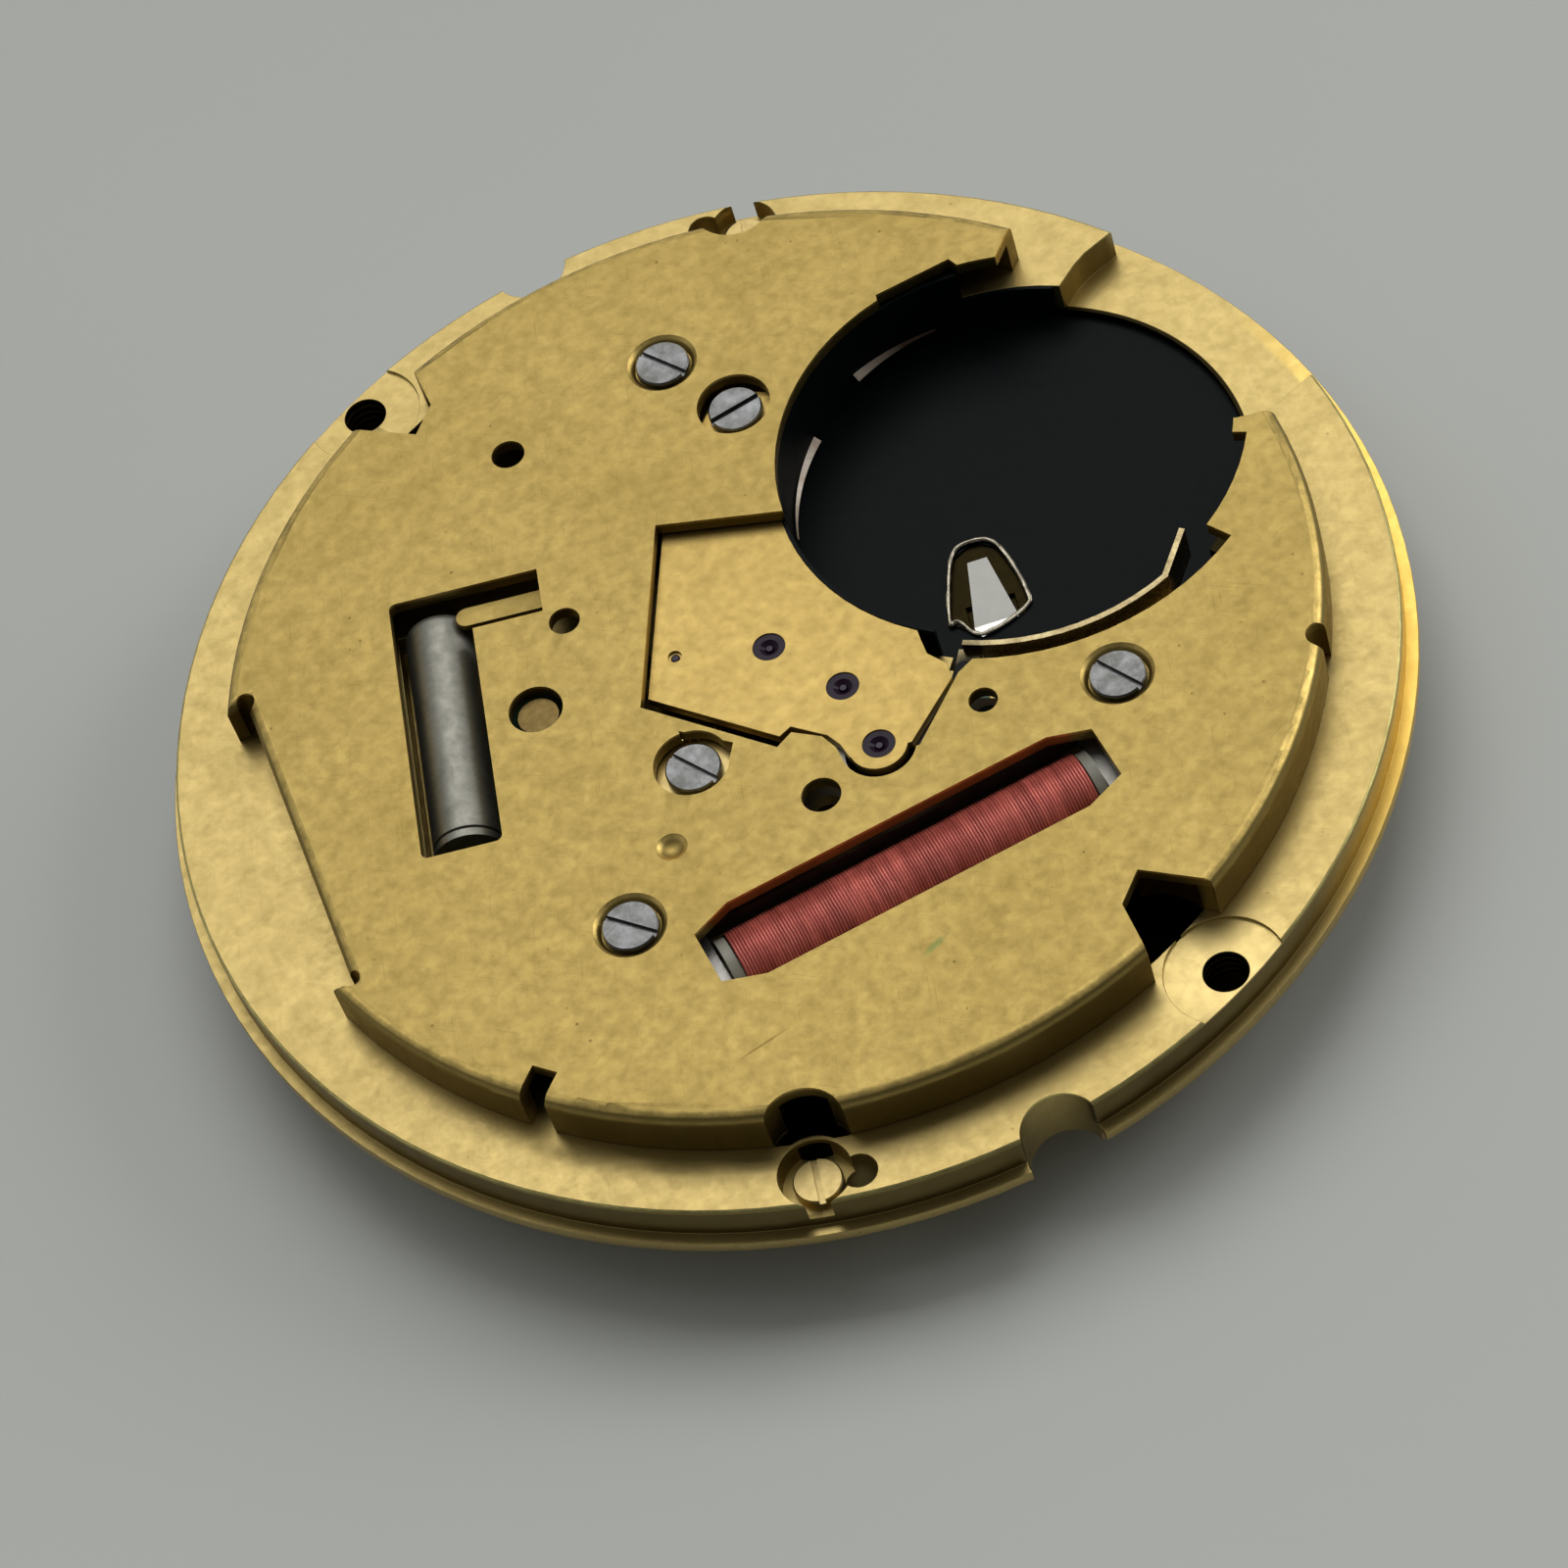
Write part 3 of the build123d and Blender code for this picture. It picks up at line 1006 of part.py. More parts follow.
def stator():
    """Soft-iron plate from both ends of the core to the rotor, with its two narrow necks."""
    top = CORE_TOP + STATOR_THICKNESS
    plate = outline(STATOR_BODY_SHARES, CORE_TOP, top)
    middle = at(COIL_CENTER_SHARE)[0]
    low = STATOR_LEG_LOW_SHARE * CASING_RADIUS
    inner_top = STATOR_BODY_LOW_SHARE * CASING_RADIUS
    leg_top = STATOR_LEG_TOP_SHARE * CASING_RADIUS
    gap = slab((middle, (low + inner_top) / 2), STATOR_LEG_INNER * 2, inner_top - low, 0, COVER_TOP)
    plate -= gap
    for side in (-1, 1):
        leg_x = middle + side * (STATOR_LEG_INNER + STATOR_LEG_WIDTH / 2)
        plate += slab((leg_x, (low + leg_top) / 2), STATOR_LEG_WIDTH, leg_top - low, CORE_TOP, top)
    plate -= disc(ROTOR, STATOR_BORE, 0, COVER_TOP)
    for side in (-1, 1):
        spot = (ROTOR[0], ROTOR[1] + side * (STATOR_BORE + STATOR_NECK_RADIUS * 2))
        plate -= disc(spot, STATOR_NECK_RADIUS, 0, COVER_TOP)
    plate -= disc(at(SIGHT_HOLES[3][0]), SIGHT_HOLES[3][1], 0, COVER_TOP)
    plate -= disc(at(SIGHT_HOLES[4][0]), SIGHT_HOLES[4][1], 0, COVER_TOP)
    plate -= disc(at(BRIDGE_SCREW_SHARES[1]), POST_RADIUS + SEAT_GAP, 0, COVER_TOP)
    return plate - disc(at(PILLAR_SHARES[0]), PILLAR_RADIUS + SEAT_GAP, 0, COVER_TOP)


def arbor(place, radius, bottom, top):
    """A train arbor with a pivot at each end, its shoulders short of the jewels."""
    lower = TRAIN_WEB_TOP + PIVOT_END_GAP
    upper = BRIDGE_UNDERSIDE - PIVOT_END_GAP
    shaft = disc(place, radius, lower, upper)
    return shaft + disc(place, PIVOT_RADIUS, bottom, top)


LOWER_PIVOT = TRAIN_WEB_TOP - BRIDGE_THICKNESS / 2
UPPER_PIVOT = BRIDGE_TOP - JEWEL_SET_BACK * 2


def wheel_on(place, teeth, module, z, seat_radius, turn):
    """A train wheel with holes between its hub and rim, pressed on its pinion's shaft."""
    wheel = gear(place, teeth, module, z, WHEEL_THICKNESS, turn)
    wheel = spoked(place, wheel, teeth, module, z, WHEEL_THICKNESS, seat_radius * 2)
    return wheel - disc(place, seat_radius, 0, COVER_TOP)


def magnet_levels():
    """Bottom and top of the rotor magnet, centered on the stator plate."""
    middle = CORE_TOP + STATOR_THICKNESS / 2
    return middle - MAGNET_HEIGHT / 2, middle + MAGNET_HEIGHT / 2


def rotor_parts():
    """Rotor magnet and its pinion shaft."""
    bottom, top = magnet_levels()
    top = min(top, BRIDGE_UNDERSIDE - PIVOT_END_GAP)
    magnet = ring(ROTOR, MAGNET_RADIUS, ARBOR_RADIUS, bottom, top)
    leaf_bottom = INTERMEDIATE_WHEEL_Z - PINION_OVERLAP
    turn = mesh_turn(ROTOR, INTERMEDIATE, ROTOR_PINION_TEETH, INTERMEDIATE_WHEEL_TEETH)
    pinion = arbor(ROTOR, ARBOR_RADIUS, LOWER_PIVOT, UPPER_PIVOT)
    height = WHEEL_THICKNESS + PINION_OVERLAP * 2
    pinion += gear(ROTOR, ROTOR_PINION_TEETH, ROTOR_MODULE, leaf_bottom, height, turn)
    return magnet, pinion


def intermediate_parts():
    """Intermediate wheel and pinion."""
    teeth = INTERMEDIATE_WHEEL_TEETH
    wheel = wheel_on(INTERMEDIATE, teeth, ROTOR_MODULE, INTERMEDIATE_WHEEL_Z, ARBOR_RADIUS, 0)
    turn = mesh_turn(INTERMEDIATE, CENTER, INTERMEDIATE_PINION_TEETH, SECONDS_WHEEL_TEETH)
    pinion = arbor(INTERMEDIATE, ARBOR_RADIUS, LOWER_PIVOT, UPPER_PIVOT)
    height = WHEEL_THICKNESS + PINION_OVERLAP * 2
    bottom = SECONDS_WHEEL_Z - PINION_OVERLAP
    pinion += gear(INTERMEDIATE, INTERMEDIATE_PINION_TEETH, SECONDS_MODULE, bottom, height, turn)
    return wheel, pinion


def seconds_parts():
    """Seconds wheel and the arbor that carries the seconds hand."""
    wheel = wheel_on(CENTER, SECONDS_WHEEL_TEETH, SECONDS_MODULE, SECONDS_WHEEL_Z, SECONDS_POST_RADIUS, 0)
    shaft = disc(CENTER, SECONDS_POST_RADIUS, SECONDS_POST_END, BRIDGE_UNDERSIDE - PIVOT_END_GAP)
    shaft += disc(CENTER, PIVOT_RADIUS, BRIDGE_UNDERSIDE - PIVOT_END_GAP, UPPER_PIVOT)
    turn = mesh_turn(CENTER, THIRD, SECONDS_PINION_TEETH, THIRD_WHEEL_TEETH)
    bottom = THIRD_WHEEL_Z - PINION_OVERLAP
    height = WHEEL_THICKNESS + PINION_OVERLAP * 2
    shaft += gear(CENTER, SECONDS_PINION_TEETH, THIRD_MODULE, bottom, height, turn)
    return wheel, shaft


def third_parts():
    """Third wheel and pinion."""
    wheel = wheel_on(THIRD, THIRD_WHEEL_TEETH, THIRD_MODULE, THIRD_WHEEL_Z, ARBOR_RADIUS, 0)
    turn = mesh_turn(THIRD, CENTER, THIRD_PINION_TEETH, CENTER_WHEEL_TEETH)
    pinion = arbor(THIRD, ARBOR_RADIUS, LOWER_PIVOT, UPPER_PIVOT)
    bottom = TRAIN_WEB_TOP + PIVOT_END_GAP
    height = CENTER_WHEEL_Z + WHEEL_THICKNESS + PINION_OVERLAP - bottom
    pinion += gear(THIRD, THIRD_PINION_TEETH, CENTER_MODULE, bottom, height, turn)
    return wheel, pinion


def center_parts():
    """Center wheel and its hollow arbor through the plate."""
    hub_bottom = TRAIN_WEB_TOP + PIVOT_END_GAP
    hub_top = CENTER_WHEEL_Z + WHEEL_THICKNESS + PINION_OVERLAP
    wheel = wheel_on(CENTER, CENTER_WHEEL_TEETH, CENTER_MODULE, CENTER_WHEEL_Z, CENTER_ARBOR_RADIUS, 0)
    tube = ring(CENTER, CENTER_ARBOR_RADIUS, CENTER_BORE_RADIUS, CENTER_ARBOR_END, hub_top)
    collar = ring(CENTER, CENTER_HUB_RADIUS, CENTER_ARBOR_RADIUS, hub_bottom, CENTER_WHEEL_Z)
    return wheel, tube + collar


def cannon_pinion():
    """Cannon pinion, which slips on the center arbor and carries the minute hand."""
    bottom = MINUTE_WHEEL_Z - PINION_OVERLAP
    leaves = gear(CENTER, CANNON_TEETH, MOTION_MODULE, bottom, CANNON_LEAF_TOP - bottom, 180 / CANNON_TEETH)
    body = leaves + disc(CENTER, CANNON_RADIUS, CANNON_END, bottom)
    return body - disc(CENTER, CANNON_BORE_RADIUS, CANNON_END - OVERRUN, RING_HEIGHT)


def minute_wheel():
    """Minute wheel with its pinion, on a post of the plate."""
    wheel_turn = mesh_turn(MINUTE_POST, CENTER, MINUTE_WHEEL_TEETH, CANNON_TEETH, 180 / CANNON_TEETH)
    teeth = MINUTE_WHEEL_TEETH
    wheel = gear(MINUTE_POST, teeth, MOTION_MODULE, MINUTE_WHEEL_Z, MOTION_WHEEL_THICKNESS, wheel_turn)
    pinion_turn = mesh_turn(MINUTE_POST, CENTER, MINUTE_PINION_TEETH, HOUR_WHEEL_TEETH)
    height = MINUTE_WHEEL_Z - MOTION_FLOOR
    wheel += gear(MINUTE_POST, MINUTE_PINION_TEETH, MOTION_MODULE, MOTION_FLOOR, height, pinion_turn)
    return wheel - disc(MINUTE_POST, MINUTE_POST_RADIUS + POST_CLEARANCE, 0, RING_HEIGHT)


def hour_wheel():
    """Hour wheel with the pipe that carries the hour hand."""
    wheel = gear(CENTER, HOUR_WHEEL_TEETH, MOTION_MODULE, MOTION_FLOOR, MOTION_WHEEL_THICKNESS)
    wheel += disc(CENTER, HOUR_PIPE_RADIUS, HOUR_PIPE_END, MOTION_FLOOR)
    wheel += disc(CENTER, HOUR_COLLAR_RADIUS, -HOUR_COLLAR_DROP, MOTION_FLOOR)
    return wheel - disc(CENTER, HOUR_BORE_RADIUS, HOUR_PIPE_END - OVERRUN, RING_HEIGHT)


def setting_wheel():
    """Setting wheel between the sliding pinion and the minute wheel."""
    minute_turn = mesh_turn(MINUTE_POST, CENTER, MINUTE_WHEEL_TEETH, CANNON_TEETH, 180 / CANNON_TEETH)
    turn = mesh_turn(SETTING_POST, MINUTE_POST, SETTING_WHEEL_TEETH, MINUTE_WHEEL_TEETH, minute_turn)
    teeth = SETTING_WHEEL_TEETH
    wheel = gear(SETTING_POST, teeth, MOTION_MODULE, MINUTE_WHEEL_Z, MOTION_WHEEL_THICKNESS, turn)
    hub = MOTION_MODULE * SETTING_WHEEL_TEETH / 4
    wheel += disc(SETTING_POST, hub, MOTION_FLOOR, MINUTE_WHEEL_Z)
    return wheel - disc(SETTING_POST, SETTING_POST_RADIUS + POST_CLEARANCE, 0, RING_HEIGHT)


def bar_between(start, end, width, bottom, top):
    """A round-ended bar between two places."""
    length = hypot(end[0] - start[0], end[1] - start[1])
    angle = degrees(atan2(end[1] - start[1], end[0] - start[0]))
    middle = ((start[0] + end[0]) / 2, (start[1] + end[1]) / 2)
    bar = slab(middle, length, width, bottom, top, angle)
    return bar + disc(start, width / 2, bottom, top) + disc(end, width / 2, bottom, top)


def setting_lever():
    """Lever whose pin engages the stem, on the axle seen through its sight hole."""
    pivot = at(LEVER_PIVOT_SHARE)
    pin = (0, LEVER_PIN_SHARE * CASING_RADIUS)
    lever = bar_between(pivot, pin, LEVER_WIDTH, MOTION_FLOOR, LEVER_TOP)
    lever += disc(pivot, LEVER_AXLE_RADIUS, LEVER_TOP, RING_HEIGHT)
    return lever + disc(pin, LEVER_PIN_RADIUS, LEVER_TOP, LEVER_PIN_TOP)


def yoke_tip():
    """Center of the yoke's round tip, just past the axis of the stem."""
    return YOKE_WIDTH / 2 - YOKE_REACH, at(YOKE_PIVOT_SHARE)[1]


def yoke():
    """Yoke whose tip rides in the groove of the sliding pinion."""
    pivot = at(YOKE_PIVOT_SHARE)
    arm = bar_between(pivot, yoke_tip(), YOKE_WIDTH, MOTION_FLOOR, LEVER_TOP)
    arm += disc(pivot, YOKE_PIVOT_WIDTH / 2, MOTION_FLOOR, LEVER_TOP)
    return arm + disc(pivot, YOKE_AXLE_RADIUS, LEVER_TOP, TRAIN_WEB_BOTTOM)


def sliding_pinion():
    """Sliding pinion with a face of teeth, a groove for the yoke and a square bore."""
    groove_y = at(YOKE_PIVOT_SHARE)[1]
    front = groove_y - SLIDING_GROOVE_WIDTH / 2 - SLIDING_NOSE
    length = SLIDING_NOSE + SLIDING_GROOVE_WIDTH + SLIDING_TAIL
    body = Cylinder(SLIDING_PINION_RADIUS, length, align=STANDING)
    neck = Cylinder(SLIDING_PINION_RADIUS + OVERRUN, SLIDING_GROOVE_WIDTH, align=STANDING)
    neck -= Cylinder(SLIDING_GROOVE_RADIUS, SLIDING_GROOVE_WIDTH, align=STANDING)
    body -= Pos(0, 0, SLIDING_NOSE) * neck
    body -= Box(SLIDING_BORE_SIDE, SLIDING_BORE_SIDE, length * 2 + OVERRUN)
    gap = SLIDING_PINION_RADIUS * pi / SLIDING_TEETH * SLIDING_TOOTH_SHARE
    for i in range(SLIDING_TEETH):
        notch = Box(SLIDING_PINION_RADIUS, gap, SLIDING_TOOTH_DEPTH)
        out = SLIDING_BORE_SIDE + SLIDING_PINION_RADIUS / 2
        body -= Rot(0, 0, 360 / SLIDING_TEETH * i) * Pos(out, 0, 0) * notch
    return Pos(0, front, STEM_AXIS_Z) * Rot(-90, 0, 0) * body


def dial_cover():
    """Thin plate that keeps the motion works and the setting parts."""
    tail = at(DIAL_COVER_TAIL_SHARE)
    side = DIAL_COVER_TAIL_RADIUS * 2 - SEAT_GAP
    plate = disc(CENTER, DIAL_COVER_BODY_RADIUS - SEAT_GAP, 0, DIAL_COVER_THICKNESS)
    plate += disc(tail, DIAL_COVER_TAIL_RADIUS - SEAT_GAP, 0, DIAL_COVER_THICKNESS)
    plate += slab((0, tail[1] / 2), side, tail[1], 0, DIAL_COVER_THICKNESS)
    plate -= disc(CENTER, DIAL_COVER_BORE, -OVERRUN, RING_HEIGHT)
    for share in DIAL_COVER_SCREW_SHARES:
        plate -= disc(at(share), HEAD_RADIUS / 2 + SEAT_GAP, -OVERRUN, RING_HEIGHT)
    return plate


def dial_cover_screws():
    """Flat screws flush with the dial seat."""
    made = []
    for share in DIAL_COVER_SCREW_SHARES:
        place = at(share)
        head = disc(place, HEAD_RADIUS / 2 + SEAT_GAP, 0, DIAL_COVER_THICKNESS)
        head -= slab(place, HEAD_RADIUS + OVERRUN, SLOT_WIDTH, -OVERRUN, SLOT_DEPTH)
        made.append(head + disc(place, SHANK_RADIUS / 2, DIAL_COVER_THICKNESS, TRAIN_WEB_BOTTOM))
    return Compound(children=made)


winding, core, cheeks = coil_parts()
magnet, rotor_pinion = rotor_parts()
intermediate_wheel, intermediate_pinion = intermediate_parts()
seconds_wheel, seconds_arbor = seconds_parts()
third_wheel, third_pinion = third_parts()
center_wheel, center_arbor = center_parts()
BRIDGE_JEWEL_TOP = BRIDGE_TOP - JEWEL_SET_BACK
PLATE_JEWEL_BOTTOM = TRAIN_WEB_TOP - BRIDGE_THICKNESS

NODES = {
    "main_plate": main_plate(),
    "movement_cover": movement_cover(),
    "train_bridge": train_bridge(),
    "cover_posts": cover_posts(),
    "bridge_posts": bridge_posts(),
    "bridge_pins": plain_posts(PILLAR_SHARES, PILLAR_RADIUS, BRIDGE_UNDERSIDE),
    "stator_posts": plain_posts(STATOR_POST_SHARES, STATOR_POST_RADIUS, CORE_TOP),
    "locating_post": plain_posts([LOCATING_POST_SHARE], LOCATING_POST_RADIUS, LOCATING_POST_TOP),
    "bridge_jewels": jewels([CENTER, INTERMEDIATE, ROTOR], BRIDGE_UNDERSIDE, BRIDGE_JEWEL_TOP),
    "plate_jewels": jewels([THIRD, INTERMEDIATE, ROTOR], PLATE_JEWEL_BOTTOM, TRAIN_WEB_TOP),
    "cover_screws": movement_screws(COVER_SCREW_SHARES, SEAT_FLOOR, COVER_SLOT_ANGLES),
    "bridge_screws": movement_screws(BRIDGE_SCREW_SHARES, BRIDGE_TOP, BRIDGE_SLOT_ANGLES),
    "dial_screws": dial_screws(),
    "circuit_clamp": circuit_clamp(),
    "battery_insulator": battery_insulator(),
    "negative_contact": negative_contact(),
    "positive_contact": positive_contact(),
    "circuit_board": circuit_board(),
    "circuit_chip": circuit_chip(),
    "quartz_can": quartz_can(),
    "quartz_leads": quartz_leads(),
    "coil_winding": winding,
    "coil_core": core,
    "coil_cheeks": cheeks,
    "stator": stator(),
    "rotor_magnet": magnet,
    "rotor_pinion": rotor_pinion,
    "intermediate_wheel": intermediate_wheel,
    "intermediate_pinion": intermediate_pinion,
    "seconds_wheel": seconds_wheel,
    "seconds_arbor": seconds_arbor,
    "third_wheel": third_wheel,
    "third_pinion": third_pinion,
    "center_wheel": center_wheel,
    "center_arbor": center_arbor,
    "cannon_pinion": cannon_pinion(),
    "minute_wheel": minute_wheel(),
    "hour_wheel": hour_wheel(),
    "setting_wheel": setting_wheel(),
    "setting_lever": setting_lever(),
    "yoke": yoke(),
    "sliding_pinion": sliding_pinion(),
    "dial_cover": dial_cover(),
    "dial_cover_screws": dial_cover_screws(),
}

for name, solid in NODES.items():
    export_step(solid, f"parts/{name}.step")
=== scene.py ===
"""Looks of a quartz watch movement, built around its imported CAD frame. Lengths are metres."""

import logging
import math
from dataclasses import dataclass, field
from enum import Enum

import bmesh
import bpy
from mathutils import Matrix, Vector, noise

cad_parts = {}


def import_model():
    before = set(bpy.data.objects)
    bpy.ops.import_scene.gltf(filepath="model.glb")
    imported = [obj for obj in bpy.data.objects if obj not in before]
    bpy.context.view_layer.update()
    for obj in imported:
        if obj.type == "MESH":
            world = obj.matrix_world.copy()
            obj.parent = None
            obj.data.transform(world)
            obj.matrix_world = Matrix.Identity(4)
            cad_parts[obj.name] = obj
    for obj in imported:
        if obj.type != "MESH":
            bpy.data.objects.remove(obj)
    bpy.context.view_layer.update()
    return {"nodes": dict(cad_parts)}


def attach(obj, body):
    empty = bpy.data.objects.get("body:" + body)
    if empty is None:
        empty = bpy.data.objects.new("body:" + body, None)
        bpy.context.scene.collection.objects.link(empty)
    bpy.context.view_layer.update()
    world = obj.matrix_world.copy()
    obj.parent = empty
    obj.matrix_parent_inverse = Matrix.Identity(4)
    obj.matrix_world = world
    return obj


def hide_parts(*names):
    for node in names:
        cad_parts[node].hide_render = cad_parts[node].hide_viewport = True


LOG = logging.getLogger("movement")
Socket = bpy.types.NodeSocket
Color = tuple[float, float, float]
Place = tuple[float, float]
Span = tuple[float, float]
Piece = bpy.types.Object
MM = 0.001
SEED = 7

# Camera, solved from the circles and screw places of the photograph
PHOTO_PIXELS = 1600
FOCAL_PIXELS = 5572
SENSOR = 36.0
CAMERA_TILT = -0.6425
CAMERA_ROLL = -0.3485
CAMERA_YAW = math.radians(9.1)
CAMERA_OFFSET = Vector((-0.1478, -2.344, 111.804)) * MM
CLIP_START = 1 * MM
CLIP_END = 10.0

# Levels and radii that repeat the frame's driving dimensions
FLOOR_LEVEL = -1.60 * MM
RING_PLANE = 1.35 * MM
RECESS_LEVEL = 1.25 * MM
COVER_PLANE = 2.50 * MM
CASING_RADIUS = 12.80 * MM
WELL_CENTER = Vector((0.5010, 0.1477, 0.0)) * CASING_RADIUS
WELL_RADIUS = 4.88 * MM
CASE_SCREW_ANGLES = (-69.2, 112.6)
CASE_SCREW_RADIUS = 12.29 * MM
CASE_POCKET_RADIUS = 10.3 * MM
DIAL_SCREW_ANGLES = (-111.8, 68.2)
DIAL_POCKET_RADIUS = 10.6 * MM
POCKET_FLOOR = 0.30 * MM
POCKET_TOP = 1.22 * MM
THREAD_PITCH = 0.20 * MM

# Wear, painted shade and painted highlights that the finishes share
SOFT_EDGE = 0.02 * MM
WALL_EDGE = 0.1 * MM
MARK_CORE = 0.35
DARK_TINT = 0.30
# Tone of the nearly black painted shade in hollows
HOLLOW_SHADE_TINT = 0.04
# Lighter edges: a painted highlight, patchy as rubbed gilt
WEAR_AND_HIGHLIGHT_GAIN = 2.4
WEAR_AND_HIGHLIGHT_PATCH = 0.5 * MM
THREAD_EDGE = (0.1, 0.8)
# Painted sheen on the crests of a thread
THREAD_PAINTED_SHEEN = 0.10
PIT_SPACING = 0.50 * MM
PIT_EDGE = (0.04, 0.09)
PIT_PATCH = 1.5 * MM
PATCH_EDGE = (0.52, 0.58)
SCRATCH_LENGTH = 1.1 * MM
SCRATCH_STRETCH = 28.0
SCRATCH_EDGE = 0.04
SCRATCH_RUNS = ((0.7, 0.70), (-0.4, 0.72), (1.9, 0.71))
DRAWN_STRETCH = 8.0
WIRE_BANDS = (0.09 * MM, 0.40 * MM)
WIRE_STRETCH = 0.08


class Grain(Enum):
    """How the fine relief of a finish runs."""

    SATIN = "satin"
    DRAWN = "drawn"


@dataclass(frozen=True)
class Mark:
    """One soft mark on a surface, with a colour of its own.

    Attributes:
        place: Middle of the mark, in the plane of the hands.
        length: Half length.
        width: Half width.
        turn: Direction of its length.
        color: Colour of the mark, linear RGB.
        share: Share of that colour in the middle.
        bottom: Level over which it shows, or None for every level.
    """

    place: Place
    length: float
    width: float
    turn: float
    color: Color
    share: float
    bottom: float | None = None


@dataclass(frozen=True)
class ShadedHollow:
    """An upright round space whose walls and floor get a nearly black painted shade.

    Attributes:
        place: Its axis, in the plane of the hands.
        radius: Its radius.
        bottom: Level where it starts.
        top: Level where it ends.
        pitch: Pitch of the thread in its wall, or 0 for a plain wall.
    """

    place: Place
    radius: float
    bottom: float
    top: float
    pitch: float = 0.0


@dataclass(frozen=True)
class PaintedLightBand:
    """A band of wall, round the hand axis, with painted light on it: painted shade in the darkened tint,
    or a painted reflection in a colour of its own.

    Attributes:
        inner: Radius beyond which the band lies.
        bottom: Level over which it lies.
        top: Level under which it lies.
        share: How strongly it shows.
        side: Direction that it faces, or None for a band all round.
        reach: Distances along that direction where it starts and where it is full.
        color: Its colour, linear RGB, or None for the darkened tint.
    """

    inner: float
    bottom: float
    top: float
    share: float
    side: Place | None = None
    reach: Span = (3.0 * MM, 10.0 * MM)
    color: Color | None = None


@dataclass(frozen=True)
class Finish:
    """One surface finish.

    Attributes:
        name: Name of the material.
        color: Main colour, linear RGB.
        tint: Colour of the stains and hollows, linear RGB.
        metallic: 1 for bare metal.
        roughness: Mean roughness.
        spread: How far the roughness wanders either way.
        grain: How the fine relief runs.
        grain_size: Size of one grain.
        relief: Height of the grain.
        mottle: Share of the tint in the fine mottling.
        stain: Share of the tint in the soft stains.
        stain_size: Size of the soft stains.
        pits: How dark the scattered pits are.
        scratches: How strongly the fine scratches show.
        painted_bands: Bands of wall with painted shade, or with a painted reflection.
        specular: Specular level of a finish that isn't metal.
        coat: Weight of a clear coat.
        bands: Share of the tint in fine bands across the X axis, as on wound wire.
        edge_wear_and_highlight: Levels between which the edges are lighter, patchy as rubbed gilt and
            with a painted highlight, or None.
        marks: Single marks on the surface.
        shaded_hollows: Spaces where the surface gets painted shade.
    """

    name: str
    color: Color
    tint: Color
    metallic: float = 1.0
    roughness: float = 0.35
    spread: float = 0.06
    grain: Grain = Grain.SATIN
    grain_size: float = 0.10 * MM
    relief: float = 0.0012 * MM
    mottle: float = 0.20
    stain: float = 0.55
    stain_size: float = 3.0 * MM
    pits: float = 0.0
    scratches: float = 0.0
    painted_bands: tuple[PaintedLightBand, ...] = ()
    specular: float = 0.5
    coat: float = 0.0
    bands: float = 0.0
    edge_wear_and_highlight: Span | None = None
    marks: tuple[Mark, ...] = ()
    shaded_hollows: tuple[ShadedHollow, ...] = ()


def around(radius: float, degrees: float) -> Place:
    """A place on a circle about the hand axis."""
    return radius * math.cos(math.radians(degrees)), radius * math.sin(math.radians(degrees))


COVER_MARKS = (
    Mark((-4.20 * MM, -8.84 * MM), 0.70 * MM, 0.032 * MM, 0.117, (0.18, 0.12, 0.03), 0.8),
    Mark((-0.36 * MM, -8.64 * MM), 0.36 * MM, 0.10 * MM, 0.30, (0.16, 0.20, 0.06), 0.75),
)
# Painted shade in the battery well's floor, the deep pockets and the threaded holes.
PLATE_SHADED_HOLLOWS = (
    ShadedHollow((WELL_CENTER.x, WELL_CENTER.y), WELL_RADIUS + 0.1 * MM, 0.05 * MM, 0.60 * MM),
    ShadedHollow((8.95 * MM, -2.50 * MM), 0.60 * MM, POCKET_FLOOR, 1.42 * MM),
    *(
        ShadedHollow(around(CASE_POCKET_RADIUS, angle), 1.20 * MM, POCKET_FLOOR, POCKET_TOP)
        for angle in CASE_SCREW_ANGLES
    ),
    *(
        ShadedHollow(around(DIAL_POCKET_RADIUS, angle), 0.90 * MM, POCKET_FLOOR, POCKET_TOP)
        for angle in DIAL_SCREW_ANGLES
    ),
    *(
        ShadedHollow(around(CASE_SCREW_RADIUS, angle), 0.49 * MM, 0.02 * MM, 1.24 * MM, THREAD_PITCH)
        for angle in CASE_SCREW_ANGLES
    ),
)
PLATE_MARKS = (
    # Three darker patches along the ring at the lower left, by the foot of the cover's wall.
    Mark((-8.27 * MM, -8.44 * MM), 1.2 * MM, 0.26 * MM, -0.775, (0.15, 0.115, 0.04), 0.55, RECESS_LEVEL),
    Mark((-6.74 * MM, -9.70 * MM), 1.1 * MM, 0.24 * MM, -0.605, (0.13, 0.100, 0.03), 0.60, RECESS_LEVEL),
    Mark((-5.40 * MM, -10.46 * MM), 0.9 * MM, 0.24 * MM, -0.474, (0.15, 0.115, 0.04), 0.55, RECESS_LEVEL),
    # A lighter patch on the near case screw's recess: a painted highlight.
    Mark(
        around(CASE_SCREW_RADIUS, CASE_SCREW_ANGLES[0]), 1.75 * MM, 1.75 * MM, 0.0,
        (0.66, 0.51, 0.21), 0.9, RECESS_LEVEL,
    ),
)
